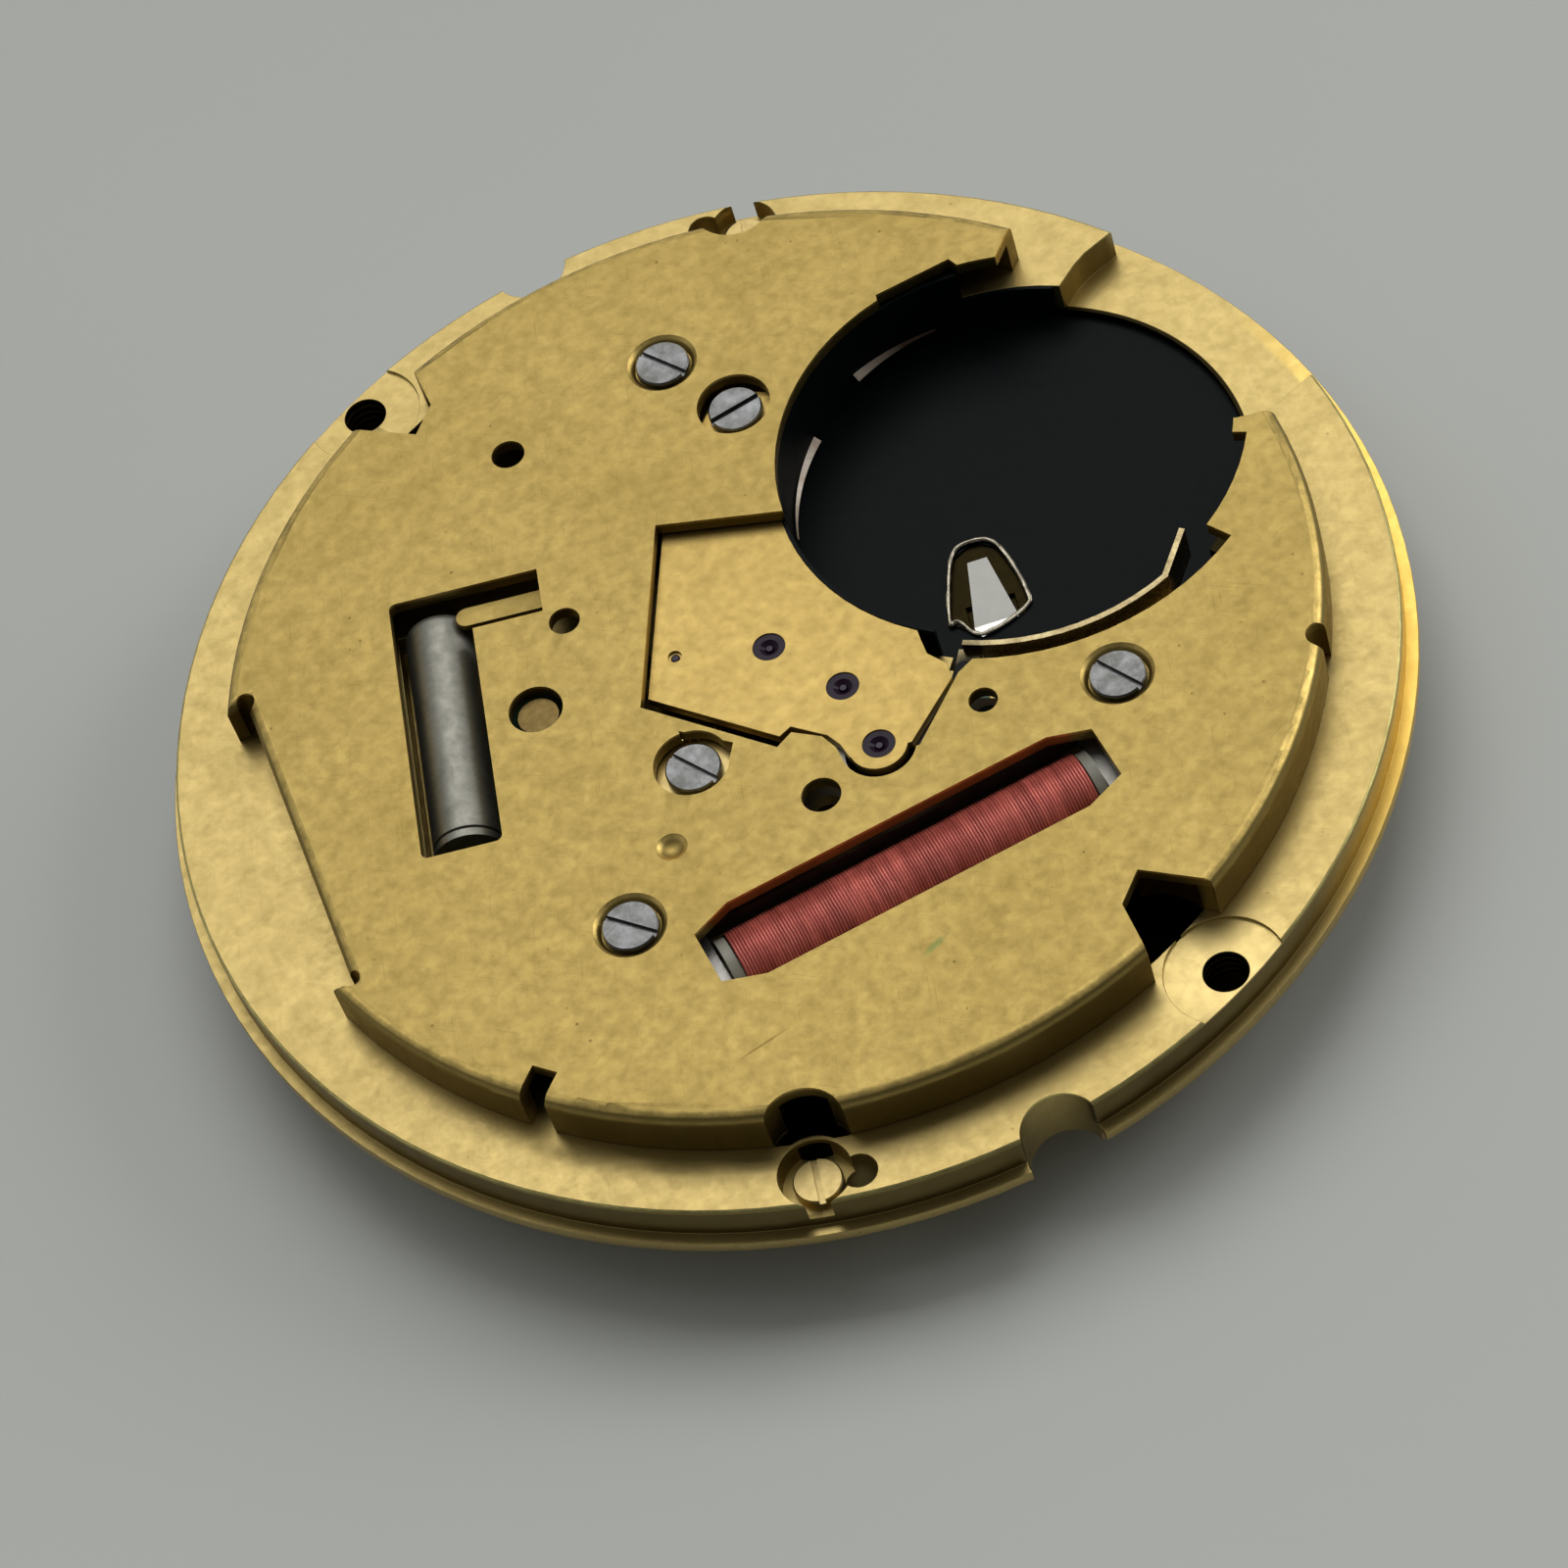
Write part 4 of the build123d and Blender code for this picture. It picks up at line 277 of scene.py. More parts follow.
# Painted shade on the cover's outer wall, and darker painted shade at the foot of the wall where it meets
# the ring.
COVER_PAINTED_SHADE = (
    PaintedLightBand(10.0 * MM, 1.44 * MM, 2.24 * MM, 0.36),
    PaintedLightBand(10.0 * MM, 1.30 * MM, 1.42 * MM, 0.85),
)
PLATE_PAINTED_LIGHT = (
    # Painted shade on the plate's outer wall on the near side.
    PaintedLightBand(12.6 * MM, 0.58 * MM, 1.30 * MM, 0.84, side=(-0.4, -0.92)),
    # A painted orange reflection on the plate's outer wall at the right.
    PaintedLightBand(
        12.69 * MM, 0.02 * MM, 1.27 * MM, 0.75, side=(0.93, -0.37), reach=(10.2 * MM, 12.6 * MM),
        color=(0.92, 0.63, 0.14),
    ),
)
GILT = Finish(
    "gilt_cover", (0.40, 0.290, 0.092), (0.28, 0.197, 0.052), roughness=0.44, relief=0.0034 * MM,
    mottle=0.34, stain=0.45, pits=0.6, scratches=0.14, painted_bands=COVER_PAINTED_SHADE,
    edge_wear_and_highlight=(2.435 * MM, COVER_PLANE), marks=COVER_MARKS,
)
GILT_PLATE = Finish(
    "gilt_plate", (0.50, 0.380, 0.148), (0.36, 0.262, 0.088), roughness=0.40, relief=0.0026 * MM,
    mottle=0.30, pits=0.4, scratches=0.10, painted_bands=PLATE_PAINTED_LIGHT,
    edge_wear_and_highlight=(1.320 * MM, RING_PLANE), marks=PLATE_MARKS, shaded_hollows=PLATE_SHADED_HOLLOWS,
)
GILT_BRIDGE = Finish(
    "gilt_bridge", (0.47, 0.335, 0.108), (0.36, 0.250, 0.075), roughness=0.42, relief=0.0024 * MM,
    mottle=0.30, pits=0.3, scratches=0.08, edge_wear_and_highlight=(2.120 * MM, 2.150 * MM),
)
GILT_SMALL = Finish(
    "gilt_small", (0.44, 0.335, 0.140), (0.32, 0.235, 0.09), roughness=0.32,
    grain_size=0.05 * MM, stain_size=1.0 * MM,
)
# Gilt of the locating post, darker: painted shade of the hole it stands in.
POST_PAINTED_SHADE = Finish(
    "post_painted_shade", (0.15, 0.103, 0.036), (0.09, 0.06, 0.02), roughness=0.36,
    grain_size=0.05 * MM, stain_size=0.6 * MM,
)
SCREW = Finish(
    "screw_steel", (0.23, 0.232, 0.236), (0.075, 0.072, 0.062), roughness=0.34, grain=Grain.DRAWN,
    relief=0.0010 * MM, mottle=0.55, stain=0.75, stain_size=0.45 * MM, scratches=0.4,
)
STRIP = Finish(
    "contact_strip", (0.42, 0.345, 0.185), (0.10, 0.06, 0.02), roughness=0.28, grain_size=0.05 * MM,
    relief=0.0020 * MM, stain_size=0.35 * MM, mottle=0.4,
    # A black patch at the strip's near end: painted shade.
    marks=(Mark((3.15 * MM, -2.45 * MM), 0.95 * MM, 0.70 * MM, 0.9, (0.008, 0.008, 0.008), 1.0),),
)
SPRING = Finish(
    "spring_steel", (0.98, 0.96, 0.90), (0.80, 0.78, 0.71), metallic=0.45, roughness=0.34,
    relief=0.0006 * MM, stain_size=0.8 * MM,
)
CAN = Finish(
    "can_tin", (0.36, 0.35, 0.30), (0.19, 0.185, 0.15), roughness=0.50, grain_size=0.09 * MM,
    relief=0.0022 * MM, stain_size=0.9 * MM, mottle=0.5, pits=0.6, scratches=0.2,
)
IRON = Finish("soft_iron", (0.40, 0.39, 0.36), (0.22, 0.21, 0.19), roughness=0.42, grain=Grain.DRAWN)
STEEL = Finish(
    "hard_steel", (0.40, 0.40, 0.39), (0.25, 0.25, 0.24), roughness=0.25,
    relief=0.0005 * MM, stain_size=0.8 * MM,
)
PIVOT = Finish(
    "oiled_steel", (0.045, 0.038, 0.050), (0.03, 0.025, 0.03), roughness=0.40,
    relief=0.0004 * MM, stain_size=0.8 * MM,
)
NICKEL = Finish(
    "nickel", (0.56, 0.55, 0.50), (0.40, 0.39, 0.35), roughness=0.32, grain=Grain.DRAWN, scratches=0.3,
)
MAGNET = Finish(
    "magnet", (0.08, 0.08, 0.085), (0.04, 0.04, 0.045), metallic=0.6, roughness=0.5,
)
FILM = Finish(
    "black_film", (0.0034, 0.0054, 0.0059), (0.0050, 0.0070, 0.0074), metallic=0.0, roughness=0.44,
    spread=0.02, relief=0.0, mottle=0.05, stain=0.3, stain_size=5.0 * MM, specular=0.07,
)
BOARD = Finish("board", (0.02, 0.09, 0.035), (0.012, 0.05, 0.02), metallic=0.0, roughness=0.42)
RESIN = Finish("resin", (0.012, 0.012, 0.012), (0.02, 0.02, 0.02), metallic=0.0, roughness=0.25, coat=0.3)
CHEEK = Finish(
    "cheek", (0.34, 0.33, 0.27), (0.20, 0.19, 0.14), metallic=0.0, roughness=0.45, stain_size=0.5 * MM,
)
JEWEL = Finish(
    "jewel", (0.022, 0.008, 0.024), (0.012, 0.005, 0.014), metallic=0.0, roughness=0.22,
    relief=0.0, specular=0.15,
)
WIRE = Finish(
    "enamelled_wire", (0.86, 0.215, 0.165), (0.34, 0.060, 0.045), metallic=0.35, roughness=0.34,
    spread=0.05, relief=0.0, stain_size=0.7 * MM, stain=0.30, mottle=0.3, bands=0.50,
)
BLADE = Finish(
    "contact_blade", (0.80, 0.72, 0.62), (0.36, 0.22, 0.12), metallic=0.20, roughness=0.30,
    grain_size=0.05 * MM, relief=0.0010 * MM, stain_size=0.7 * MM, stain=0.8,
    marks=(
        Mark((6.75 * MM, 6.58 * MM), 1.9 * MM, 1.2 * MM, 0.0, (0.07, 0.028, 0.010), 1.0),
        Mark((1.98 * MM, 3.40 * MM), 1.3 * MM, 1.3 * MM, 0.0, (0.20, 0.14, 0.08), 0.9),
    ),
)
# The film's lip in a pale metal colour: a painted highlight along the window's edge.
LIP_PAINTED_HIGHLIGHT = Finish(
    "film_lip_painted_highlight", (0.44, 0.40, 0.31), (0.10, 0.08, 0.05), roughness=0.30, grain_size=0.05 * MM,
    relief=0.0040 * MM, stain_size=0.20 * MM,
)

NODES_BY_FINISH = (
    (GILT_PLATE, ("main_plate", "cover_posts", "bridge_posts", "bridge_pins", "stator_posts")),
    (GILT, ("movement_cover",)),
    (GILT_BRIDGE, ("train_bridge",)),
    (GILT_SMALL, (
        "dial_screws", "circuit_clamp", "intermediate_wheel", "seconds_wheel", "third_wheel",
        "center_wheel", "minute_wheel", "hour_wheel", "setting_wheel",
    )),
    (POST_PAINTED_SHADE, ("locating_post",)),
    (JEWEL, ("bridge_jewels", "plate_jewels")),
    (SCREW, ("cover_screws", "bridge_screws")),
    (FILM, ("battery_insulator",)),
    (SPRING, ("negative_contact",)),
    (STRIP, ("positive_contact",)),
    (BOARD, ("circuit_board",)),
    (RESIN, ("circuit_chip",)),
    (CAN, ("quartz_can", "quartz_leads")),
    (WIRE, ("coil_winding",)),
    (IRON, ("coil_core", "stator")),
    (CHEEK, ("coil_cheeks",)),
    (MAGNET, ("rotor_magnet",)),
    (PIVOT, ("rotor_pinion", "intermediate_pinion", "seconds_arbor", "third_pinion")),
    (STEEL, (
        "center_arbor", "cannon_pinion", "setting_lever", "yoke", "sliding_pinion",
        "dial_cover_screws",
    )),
    (NICKEL, ("dial_cover",)),
)
NODE_FINISHES = {node: finish for finish, nodes in NODES_BY_FINISH for node in nodes}


def add_node(tree: bpy.types.NodeTree, kind: str, **values: object) -> bpy.types.Node:
    """Adds a node to a tree and sets its properties.

    Args:
        tree: The tree.
        kind: Blender's name of the node type.
        **values: Properties to set.

    Returns:
        The new node.
    """
    made = tree.nodes.new(kind)
    for key, value in values.items():
        setattr(made, key, value)
    return made


class Shader:
    """A small builder over one material's node tree."""

    def __init__(self, name: str) -> None:
        """Starts an empty tree.

        Args:
            name: Name of the material.
        """
        self.material = bpy.data.materials.new(name)
        self.material.use_nodes = True
        self.tree = self.material.node_tree
        self.tree.nodes.clear()
        self.place = self.node("ShaderNodeTexCoord").outputs["Object"]

    def node(self, kind: str, **values: object) -> bpy.types.Node:
        """Adds a node with its properties."""
        return add_node(self.tree, kind, **values)

    def surface(self) -> bpy.types.Node:
        """Adds the output with a plain shader on it.

        Returns:
            The shader's node.
        """
        body = self.node("ShaderNodeBsdfPrincipled")
        out = self.node("ShaderNodeOutputMaterial")
        self.link(body.outputs["BSDF"], out.inputs["Surface"])
        return body

    def link(self, source: Socket, target: Socket) -> None:
        """Links two sockets."""
        self.tree.links.new(source, target)

    def mapped(self, scale: Vector, turn: float = 0.0, shift: Vector | None = None) -> Socket:
        """Turns and stretches the object's coordinates.

        Args:
            scale: Scale of each axis after the turn.
            turn: Turn about the vertical axis.
            shift: Place that becomes the origin.

        Returns:
            The mapped coordinates.
        """
        place = self.place
        if shift is not None:
            moved = self.node("ShaderNodeMapping")
            moved.inputs["Location"].default_value = -shift
            self.link(place, moved.inputs["Vector"])
            place = moved.outputs["Vector"]
        turned = self.node("ShaderNodeMapping")
        turned.inputs["Rotation"].default_value = (0.0, 0.0, turn)
        self.link(place, turned.inputs["Vector"])
        scaled = self.node("ShaderNodeMapping")
        scaled.inputs["Scale"].default_value = scale
        self.link(turned.outputs["Vector"], scaled.inputs["Vector"])
        return scaled.outputs["Vector"]

    def noise(
        self, size: float, detail: float = 3.0, rough: float = 0.55, place: Socket | None = None,
    ) -> Socket:
        """Adds noise with features of a real size.

        Args:
            size: Size of one feature.
            detail: Number of octaves.
            rough: Strength of the finer octaves.
            place: Coordinates to read, or None for the object's own.

        Returns:
            The noise's value.
        """
        made = self.node("ShaderNodeTexNoise")
        made.inputs["Scale"].default_value = 1 / size
        made.inputs["Detail"].default_value = detail
        made.inputs["Roughness"].default_value = rough
        self.link(place or self.place, made.inputs["Vector"])
        return made.outputs["Fac"]

    def ramp(
        self, value: Socket, low: float, high: float, start: float = 0.0, end: float = 1.0,
    ) -> Socket:
        """Maps a value between two limits to another range, clamped.

        Args:
            value: The socket to map.
            low: Value that gives start.
            high: Value that gives end.
            start: Result at low.
            end: Result at high.

        Returns:
            The mapped value.
        """
        made = self.node("ShaderNodeMapRange")
        made.inputs["From Min"].default_value = low
        made.inputs["From Max"].default_value = high
        made.inputs["To Min"].default_value = start
        made.inputs["To Max"].default_value = end
        self.link(value, made.inputs["Value"])
        return made.outputs["Result"]

    def mix(self, factor: Socket, first: Socket | Color, second: Socket | Color) -> Socket:
        """Mixes two colours.

        Args:
            factor: Share of the second colour.
            first: First colour, a socket or linear RGB.
            second: Second colour, a socket or linear RGB.

        Returns:
            The mixed colour.
        """
        made = self.node("ShaderNodeMix", data_type="RGBA")
        self.link(factor, made.inputs["Factor"])
        for name, value in (("A", first), ("B", second)):
            socket = next(s for s in made.inputs if s.name == name and s.type == "RGBA")
            if isinstance(value, Socket):
                self.link(value, socket)
            else:
                socket.default_value = (*value, 1.0)
        return next(s for s in made.outputs if s.type == "RGBA")

    def math(self, operation: str, first: Socket | float, second: Socket | float) -> Socket:
        """Adds a maths node.

        Args:
            operation: Blender's name of the operation.
            first: First operand, a socket or a number.
            second: Second operand, a socket or a number.

        Returns:
            The result.
        """
        made = self.node("ShaderNodeMath", operation=operation)
        for socket, value in zip(made.inputs, (first, second)):
            if isinstance(value, Socket):
                self.link(value, socket)
            else:
                socket.default_value = value
        return made.outputs[0]

    def axis(self, name: str) -> Socket:
        """Reads one axis of the object's coordinates.

        Args:
            name: X, Y or Z.

        Returns:
            The place along it.
        """
        made = self.node("ShaderNodeSeparateXYZ")
        self.link(self.place, made.inputs["Vector"])
        return made.outputs[name]

    def reach(self, place: Socket) -> Socket:
        """Measures how far coordinates are from their origin.

        Args:
            place: The coordinates.

        Returns:
            The distance.
        """
        made = self.node("ShaderNodeVectorMath", operation="LENGTH")
        self.link(place, made.inputs[0])
        return made.outputs["Value"]

    def mark(self, mark: Mark) -> Socket:
        """Adds the mask of one long soft mark.

        Args:
            mark: The mark.

        Returns:
            Its share at each place.
        """
        scale = Vector((1 / mark.length, 1 / mark.width, 0.0))
        place = self.mapped(scale, -mark.turn, Vector((*mark.place, 0.0)))
        spread = self.ramp(self.reach(place), MARK_CORE, 1.0, mark.share, 0.0)
        if mark.bottom is None:
            return spread
        over = self.ramp(self.axis("Z"), mark.bottom - SOFT_EDGE, mark.bottom)
        return self.math("MULTIPLY", spread, over)

    def painted_band_mask(self, painted_band: PaintedLightBand) -> Socket:
        """Adds the mask of one band of wall with painted shade or a painted reflection.

        Args:
            painted_band: The band.

        Returns:
            Its share at each place.
        """
        flat = self.mapped(Vector((1.0, 1.0, 0.0)))
        out = self.ramp(self.reach(flat), painted_band.inner, painted_band.inner + WALL_EDGE)
        low = self.ramp(self.axis("Z"), painted_band.top - 0.06 * MM, painted_band.top + 0.04 * MM, painted_band.share, 0.0)
        high = self.ramp(self.axis("Z"), painted_band.bottom - SOFT_EDGE, painted_band.bottom)
        band = self.math("MULTIPLY", out, self.math("MULTIPLY", low, high))
        if painted_band.side is not None:
            across = self.math("MULTIPLY", self.axis("X"), painted_band.side[0])
            along = self.math("MULTIPLY", self.axis("Y"), painted_band.side[1])
            band = self.math("MULTIPLY", band, self.ramp(self.math("ADD", across, along), *painted_band.reach))
        return band

    def edge_wear_and_highlight(self, bottom: float, top: float) -> Socket:
        """Adds the mask of an edge with a painted highlight, patchy as rubbed gilt.

        Args:
            bottom: Level where the edge starts.
            top: Level where it ends.

        Returns:
            The edge's share at each place.
        """
        height = self.axis("Z")
        low = self.ramp(height, bottom - SOFT_EDGE, bottom + 0.01 * MM)
        high = self.ramp(height, top - 0.012 * MM, top - 0.001 * MM, 1.0, 0.0)
        patchy = self.ramp(self.noise(WEAR_AND_HIGHLIGHT_PATCH, 4.0, 0.7), 0.30, 0.62, 0.25, 1.0)
        return self.math("MULTIPLY", patchy, self.math("MULTIPLY", low, high))

    def inside(self, hollow: ShadedHollow) -> Socket:
        """Adds the mask of one upright round space.

        Args:
            hollow: The space.

        Returns:
            1 inside it, and 0 outside.
        """
        place = self.mapped(Vector((1.0, 1.0, 0.0)), 0.0, Vector((*hollow.place, 0.0)))
        ring = self.ramp(self.reach(place), hollow.radius - SOFT_EDGE, hollow.radius, 1.0, 0.0)
        height = self.axis("Z")
        below = self.ramp(height, hollow.top - SOFT_EDGE, hollow.top, 1.0, 0.0)
        above = self.ramp(height, hollow.bottom, hollow.bottom + SOFT_EDGE)
        # A threaded wall: a painted sheen on each crest breaks the painted shade.
        if hollow.pitch:
            wave = self.math("SINE", self.math("MULTIPLY", height, 2 * math.pi / hollow.pitch), 0.0)
            below = self.math("MULTIPLY", below, self.ramp(wave, *THREAD_EDGE, 1.0, THREAD_PAINTED_SHEEN))
        return self.math("MULTIPLY", ring, self.math("MULTIPLY", below, above))

    def pits(self, share: float) -> Socket:
        """Adds the mask of pits that lie scattered in patches.

        Args:
            share: How dark a pit is.

        Returns:
            The pits' mask.
        """
        specks = self.node("ShaderNodeTexVoronoi", feature="F1")
        specks.inputs["Scale"].default_value = 1 / PIT_SPACING
        self.link(self.place, specks.inputs["Vector"])
        near = self.ramp(specks.outputs["Distance"], *PIT_EDGE, 1.0, 0.0)
        chosen = self.ramp(self.noise(PIT_PATCH, 2.0), *PATCH_EDGE, 0.0, share)
        return self.math("MULTIPLY", near, chosen)

    def scratches(self, turn: float, limit: float) -> Socket:
        """Adds straight fine scratches that run one way.

        Args:
            turn: Direction of the scratches.
            limit: Noise level above which a scratch shows.

        Returns:
            The scratches' mask.
        """
        place = self.mapped(Vector((1.0, SCRATCH_STRETCH, 1.0)), turn)
        return self.ramp(self.noise(SCRATCH_LENGTH, 1.0, 0.4, place), limit, limit + SCRATCH_EDGE)

    def bump(self, height: Socket, distance: float) -> Socket:
        """Adds a bump of a real height.

        Args:
            height: The relief, from 0 to 1.
            distance: Height of a full step of it.

        Returns:
            The bent normal.
        """
        made = self.node("ShaderNodeBump")
        made.inputs["Distance"].default_value = distance
        self.link(height, made.inputs["Height"])
        return made.outputs["Normal"]


def finish_color(shader: Shader, finish: Finish, fine: Socket) -> Socket:
    """Builds the colour of a finish with its wear, and with its painted shade, painted reflections and
    painted highlights.

    Args:
        shader: The tree to build in.
        finish: The finish.
        fine: Fine noise shared with the roughness.

    Returns:
        The colour.
    """
    stain = shader.ramp(shader.noise(finish.stain_size, 4.0, 0.6), 0.35, 0.72, 0.0, finish.stain)
    color = shader.mix(stain, finish.color, finish.tint)
    color = shader.mix(shader.ramp(fine, 0.35, 0.68, 0.0, finish.mottle), color, finish.tint)
    dark = tuple(c * DARK_TINT for c in finish.tint)
    if finish.pits:
        color = shader.mix(shader.pits(finish.pits), color, dark)
    if finish.scratches:
        for turn, limit in SCRATCH_RUNS:
            lines = shader.math("MULTIPLY", shader.scratches(turn, limit), finish.scratches)
            color = shader.mix(lines, color, dark)
    # Painted shade, and a painted reflection, on bands of wall.
    for painted_band in finish.painted_bands:
        color = shader.mix(shader.painted_band_mask(painted_band), color, painted_band.color or dark)
    if finish.bands:
        for size in WIRE_BANDS:
            along = shader.mapped(Vector((1.0, WIRE_STRETCH, WIRE_STRETCH)))
            turns = shader.noise(size, 2.0, 0.6, along)
            color = shader.mix(shader.ramp(turns, 0.42, 0.62, 0.0, finish.bands), color, finish.tint)
    # Edges lighter with a painted highlight, patchy as rubbed gilt.
    if finish.edge_wear_and_highlight is not None:
        rubbed_and_highlit = tuple(min(1.0, c * WEAR_AND_HIGHLIGHT_GAIN) for c in finish.color)
        color = shader.mix(shader.edge_wear_and_highlight(*finish.edge_wear_and_highlight), color, rubbed_and_highlit)
    for mark in finish.marks:
        color = shader.mix(shader.mark(mark), color, mark.color)
    # Nearly black painted shade in hollows.
    hollow_shade = tuple(c * HOLLOW_SHADE_TINT for c in finish.tint)
    for hollow in finish.shaded_hollows:
        color = shader.mix(shader.inside(hollow), color, hollow_shade)
    return color


def make_material(finish: Finish) -> bpy.types.Material:
    """Builds the material of one finish.

    Args:
        finish: The finish to build.

    Returns:
        The new material.
    """
    shader = Shader(finish.name)
    body = shader.surface()
    body.inputs["Metallic"].default_value = finish.metallic
    body.inputs["Coat Weight"].default_value = finish.coat
    body.inputs["Specular IOR Level"].default_value = finish.specular

    fine = shader.noise(finish.grain_size * 3, 5.0, 0.7)
    shader.link(finish_color(shader, finish, fine), body.inputs["Base Color"])
    smoothest, roughest = finish.roughness - finish.spread, finish.roughness + finish.spread
    shader.link(shader.ramp(fine, 0.3, 0.7, smoothest, roughest), body.inputs["Roughness"])
    if finish.relief:
        drawn = finish.grain is Grain.DRAWN
        place = shader.mapped(Vector((1.0, DRAWN_STRETCH, 1.0))) if drawn else None
        height = shader.noise(finish.grain_size, 3.0, 0.6, place)
        shader.link(shader.bump(height, finish.relief), body.inputs["Normal"])
    return shader.material


class Finishes:
    """All the materials by finish, each made once."""

    def __init__(self) -> None:
        """Starts with no materials."""
        self._made: dict[str, bpy.types.Material] = {}

    def material(self, finish: Finish) -> bpy.types.Material:
        """Gives a finish's material, and makes it on first use.

        Args:
            finish: The finish.

        Returns:
            Its material.
        """
        if finish.name not in self._made:
            self._made[finish.name] = make_material(finish)
        return self._made[finish.name]

    def dress(self, piece: Piece, finish: Finish) -> None:
        """Gives a piece one finish all over."""
        piece.data.materials.clear()
        piece.data.materials.append(self.material(finish))


def add_piece(name: str, mesh: bpy.types.Mesh) -> Piece:
    """Adds a mesh to the scene as an object at the origin.

    Args:
        name: Name of the object.
        mesh: Its mesh.

    Returns:
        The new object.
    """
    piece = bpy.data.objects.new(name, mesh)
    bpy.context.scene.collection.objects.link(piece)
    return piece


def shade_by_angle(mesh: bpy.types.Mesh, degrees: float) -> None:
    """Smooths a mesh and keeps the edges sharper than an angle."""
    mesh.polygons.foreach_set("use_smooth", [True] * len(mesh.polygons))
    mesh.set_sharp_from_angle(angle=math.radians(degrees))


def bake_modifiers(piece: Piece) -> None:
    """Turns a piece and its modifiers into a plain mesh.

    Args:
        piece: The piece, which keeps its name.
    """
    graph = bpy.context.evaluated_depsgraph_get()
    mesh = bpy.data.meshes.new_from_object(piece.evaluated_get(graph))
    piece.modifiers.clear()
    piece.data = mesh


def join_rings(shape: bmesh.types.BMesh, rings: list[list[bmesh.types.BMVert]], closed: bool) -> None:
    """Joins rings of corners into a tube.

    Args:
        shape: The mesh that holds the corners.
        rings: The rings in order, all with the same number of corners.
        closed: True where the last ring meets the first. Otherwise each end gets a face.
    """
    sides = len(rings[0])
    following = rings[1:] + rings[:1] if closed else rings[1:]
    for first, second in zip(rings, following):
        for side in range(sides):
            after = (side + 1) % sides
            shape.faces.new((first[side], first[after], second[after], second[side]))
    if not closed:
        shape.faces.new(rings[0])
        shape.faces.new(rings[-1])


def make_contact(
    name: str, shape: bmesh.types.BMesh, smooth: float, finish: Finish, finishes: Finishes,
) -> Piece:
    """Turns a built shape into a piece of the battery's contacts.

    Args:
        name: Name of the piece.
        shape: The shape, which is freed.
        smooth: Smoothing angle in degrees.
        finish: Finish of the piece.
        finishes: The materials.

    Returns:
        The new piece.
    """
    bmesh.ops.recalc_face_normals(shape, faces=shape.faces)
    mesh = bpy.data.meshes.new(name)
    shape.to_mesh(mesh)
    shape.free()
    shade_by_angle(mesh, smooth)
    piece = add_piece(name, mesh)
    finishes.dress(piece, finish)
    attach(piece, "movement")
    return piece


@dataclass
class SoftenedNode:
    """A CAD node with its sharp edges rounded, as a plated sheet or turned plate has them.

    Attributes:
        node: Name of the node.
        slot: Not used.
        width: Width of the rounded edge.
        segments: Steps across the rounded edge.
        join: Distance within which corners are merged.
        flat_angle: Angle up to which faces count as one flat.
        edge_angle: Angle over which an edge is rounded.
        smooth: Smoothing angle in degrees.
        flat_weight: How strongly large faces keep their normals.
    """

    node: str
    slot: str
    width: float
    segments: int = 3
    join: float = 0.002 * MM
    flat_angle: float = math.radians(0.4)
    edge_angle: float = math.radians(35)
    smooth: float = 40.0
    flat_weight: int = 100

    def build(self, source: Piece, finishes: Finishes) -> Piece:
        """Builds the rounded copy and hides the node.

        Args:
            source: The node's object.
            finishes: The materials.

        Returns:
            The new piece.
        """
        mesh = source.data.copy()
        shape = bmesh.new()
        shape.from_mesh(mesh)
        bmesh.ops.remove_doubles(shape, verts=shape.verts, dist=self.join)
        bmesh.ops.dissolve_limit(
            shape, angle_limit=self.flat_angle, verts=shape.verts, edges=shape.edges,
        )
        bmesh.ops.recalc_face_normals(shape, faces=shape.faces)
        shape.to_mesh(mesh)
        shape.free()
        piece = add_piece(f"{self.node}_softened", mesh)
        edge = piece.modifiers.new("edges", "BEVEL")
        edge.width = self.width
        edge.segments = self.segments
        edge.limit_method = "ANGLE"
        edge.angle_limit = self.edge_angle
        edge.use_clamp_overlap = True
        bake_modifiers(piece)
        shade_by_angle(piece.data, self.smooth)
        flat = piece.modifiers.new("flat_faces", "WEIGHTED_NORMAL")
        flat.mode = "FACE_AREA"
        flat.weight = self.flat_weight
        flat.keep_sharp = True
        bake_modifiers(piece)
        self._keep_inside(piece.data, source.data)
        finishes.dress(piece, NODE_FINISHES[self.node])
        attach(piece, "movement")
        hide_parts(self.node)
        return piece

    @staticmethod
    def _keep_inside(mesh: bpy.types.Mesh, solid: bpy.types.Mesh) -> None:
        """Pulls back what the rounding pushed past the solid's own box.

        Args:
            mesh: The rounded mesh.
            solid: The node's own mesh.
        """
        low = [min(vertex.co[axis] for vertex in solid.vertices) for axis in range(3)]
        high = [max(vertex.co[axis] for vertex in solid.vertices) for axis in range(3)]
        for vertex in mesh.vertices:
            for axis in range(3):
                vertex.co[axis] = min(max(vertex.co[axis], low[axis]), high[axis])


SOFTENED_NODES = (
    SoftenedNode("movement_cover", "cover", 0.070 * MM),
    SoftenedNode("main_plate", "plate", 0.030 * MM),
    SoftenedNode("train_bridge", "bridge", 0.030 * MM),
)


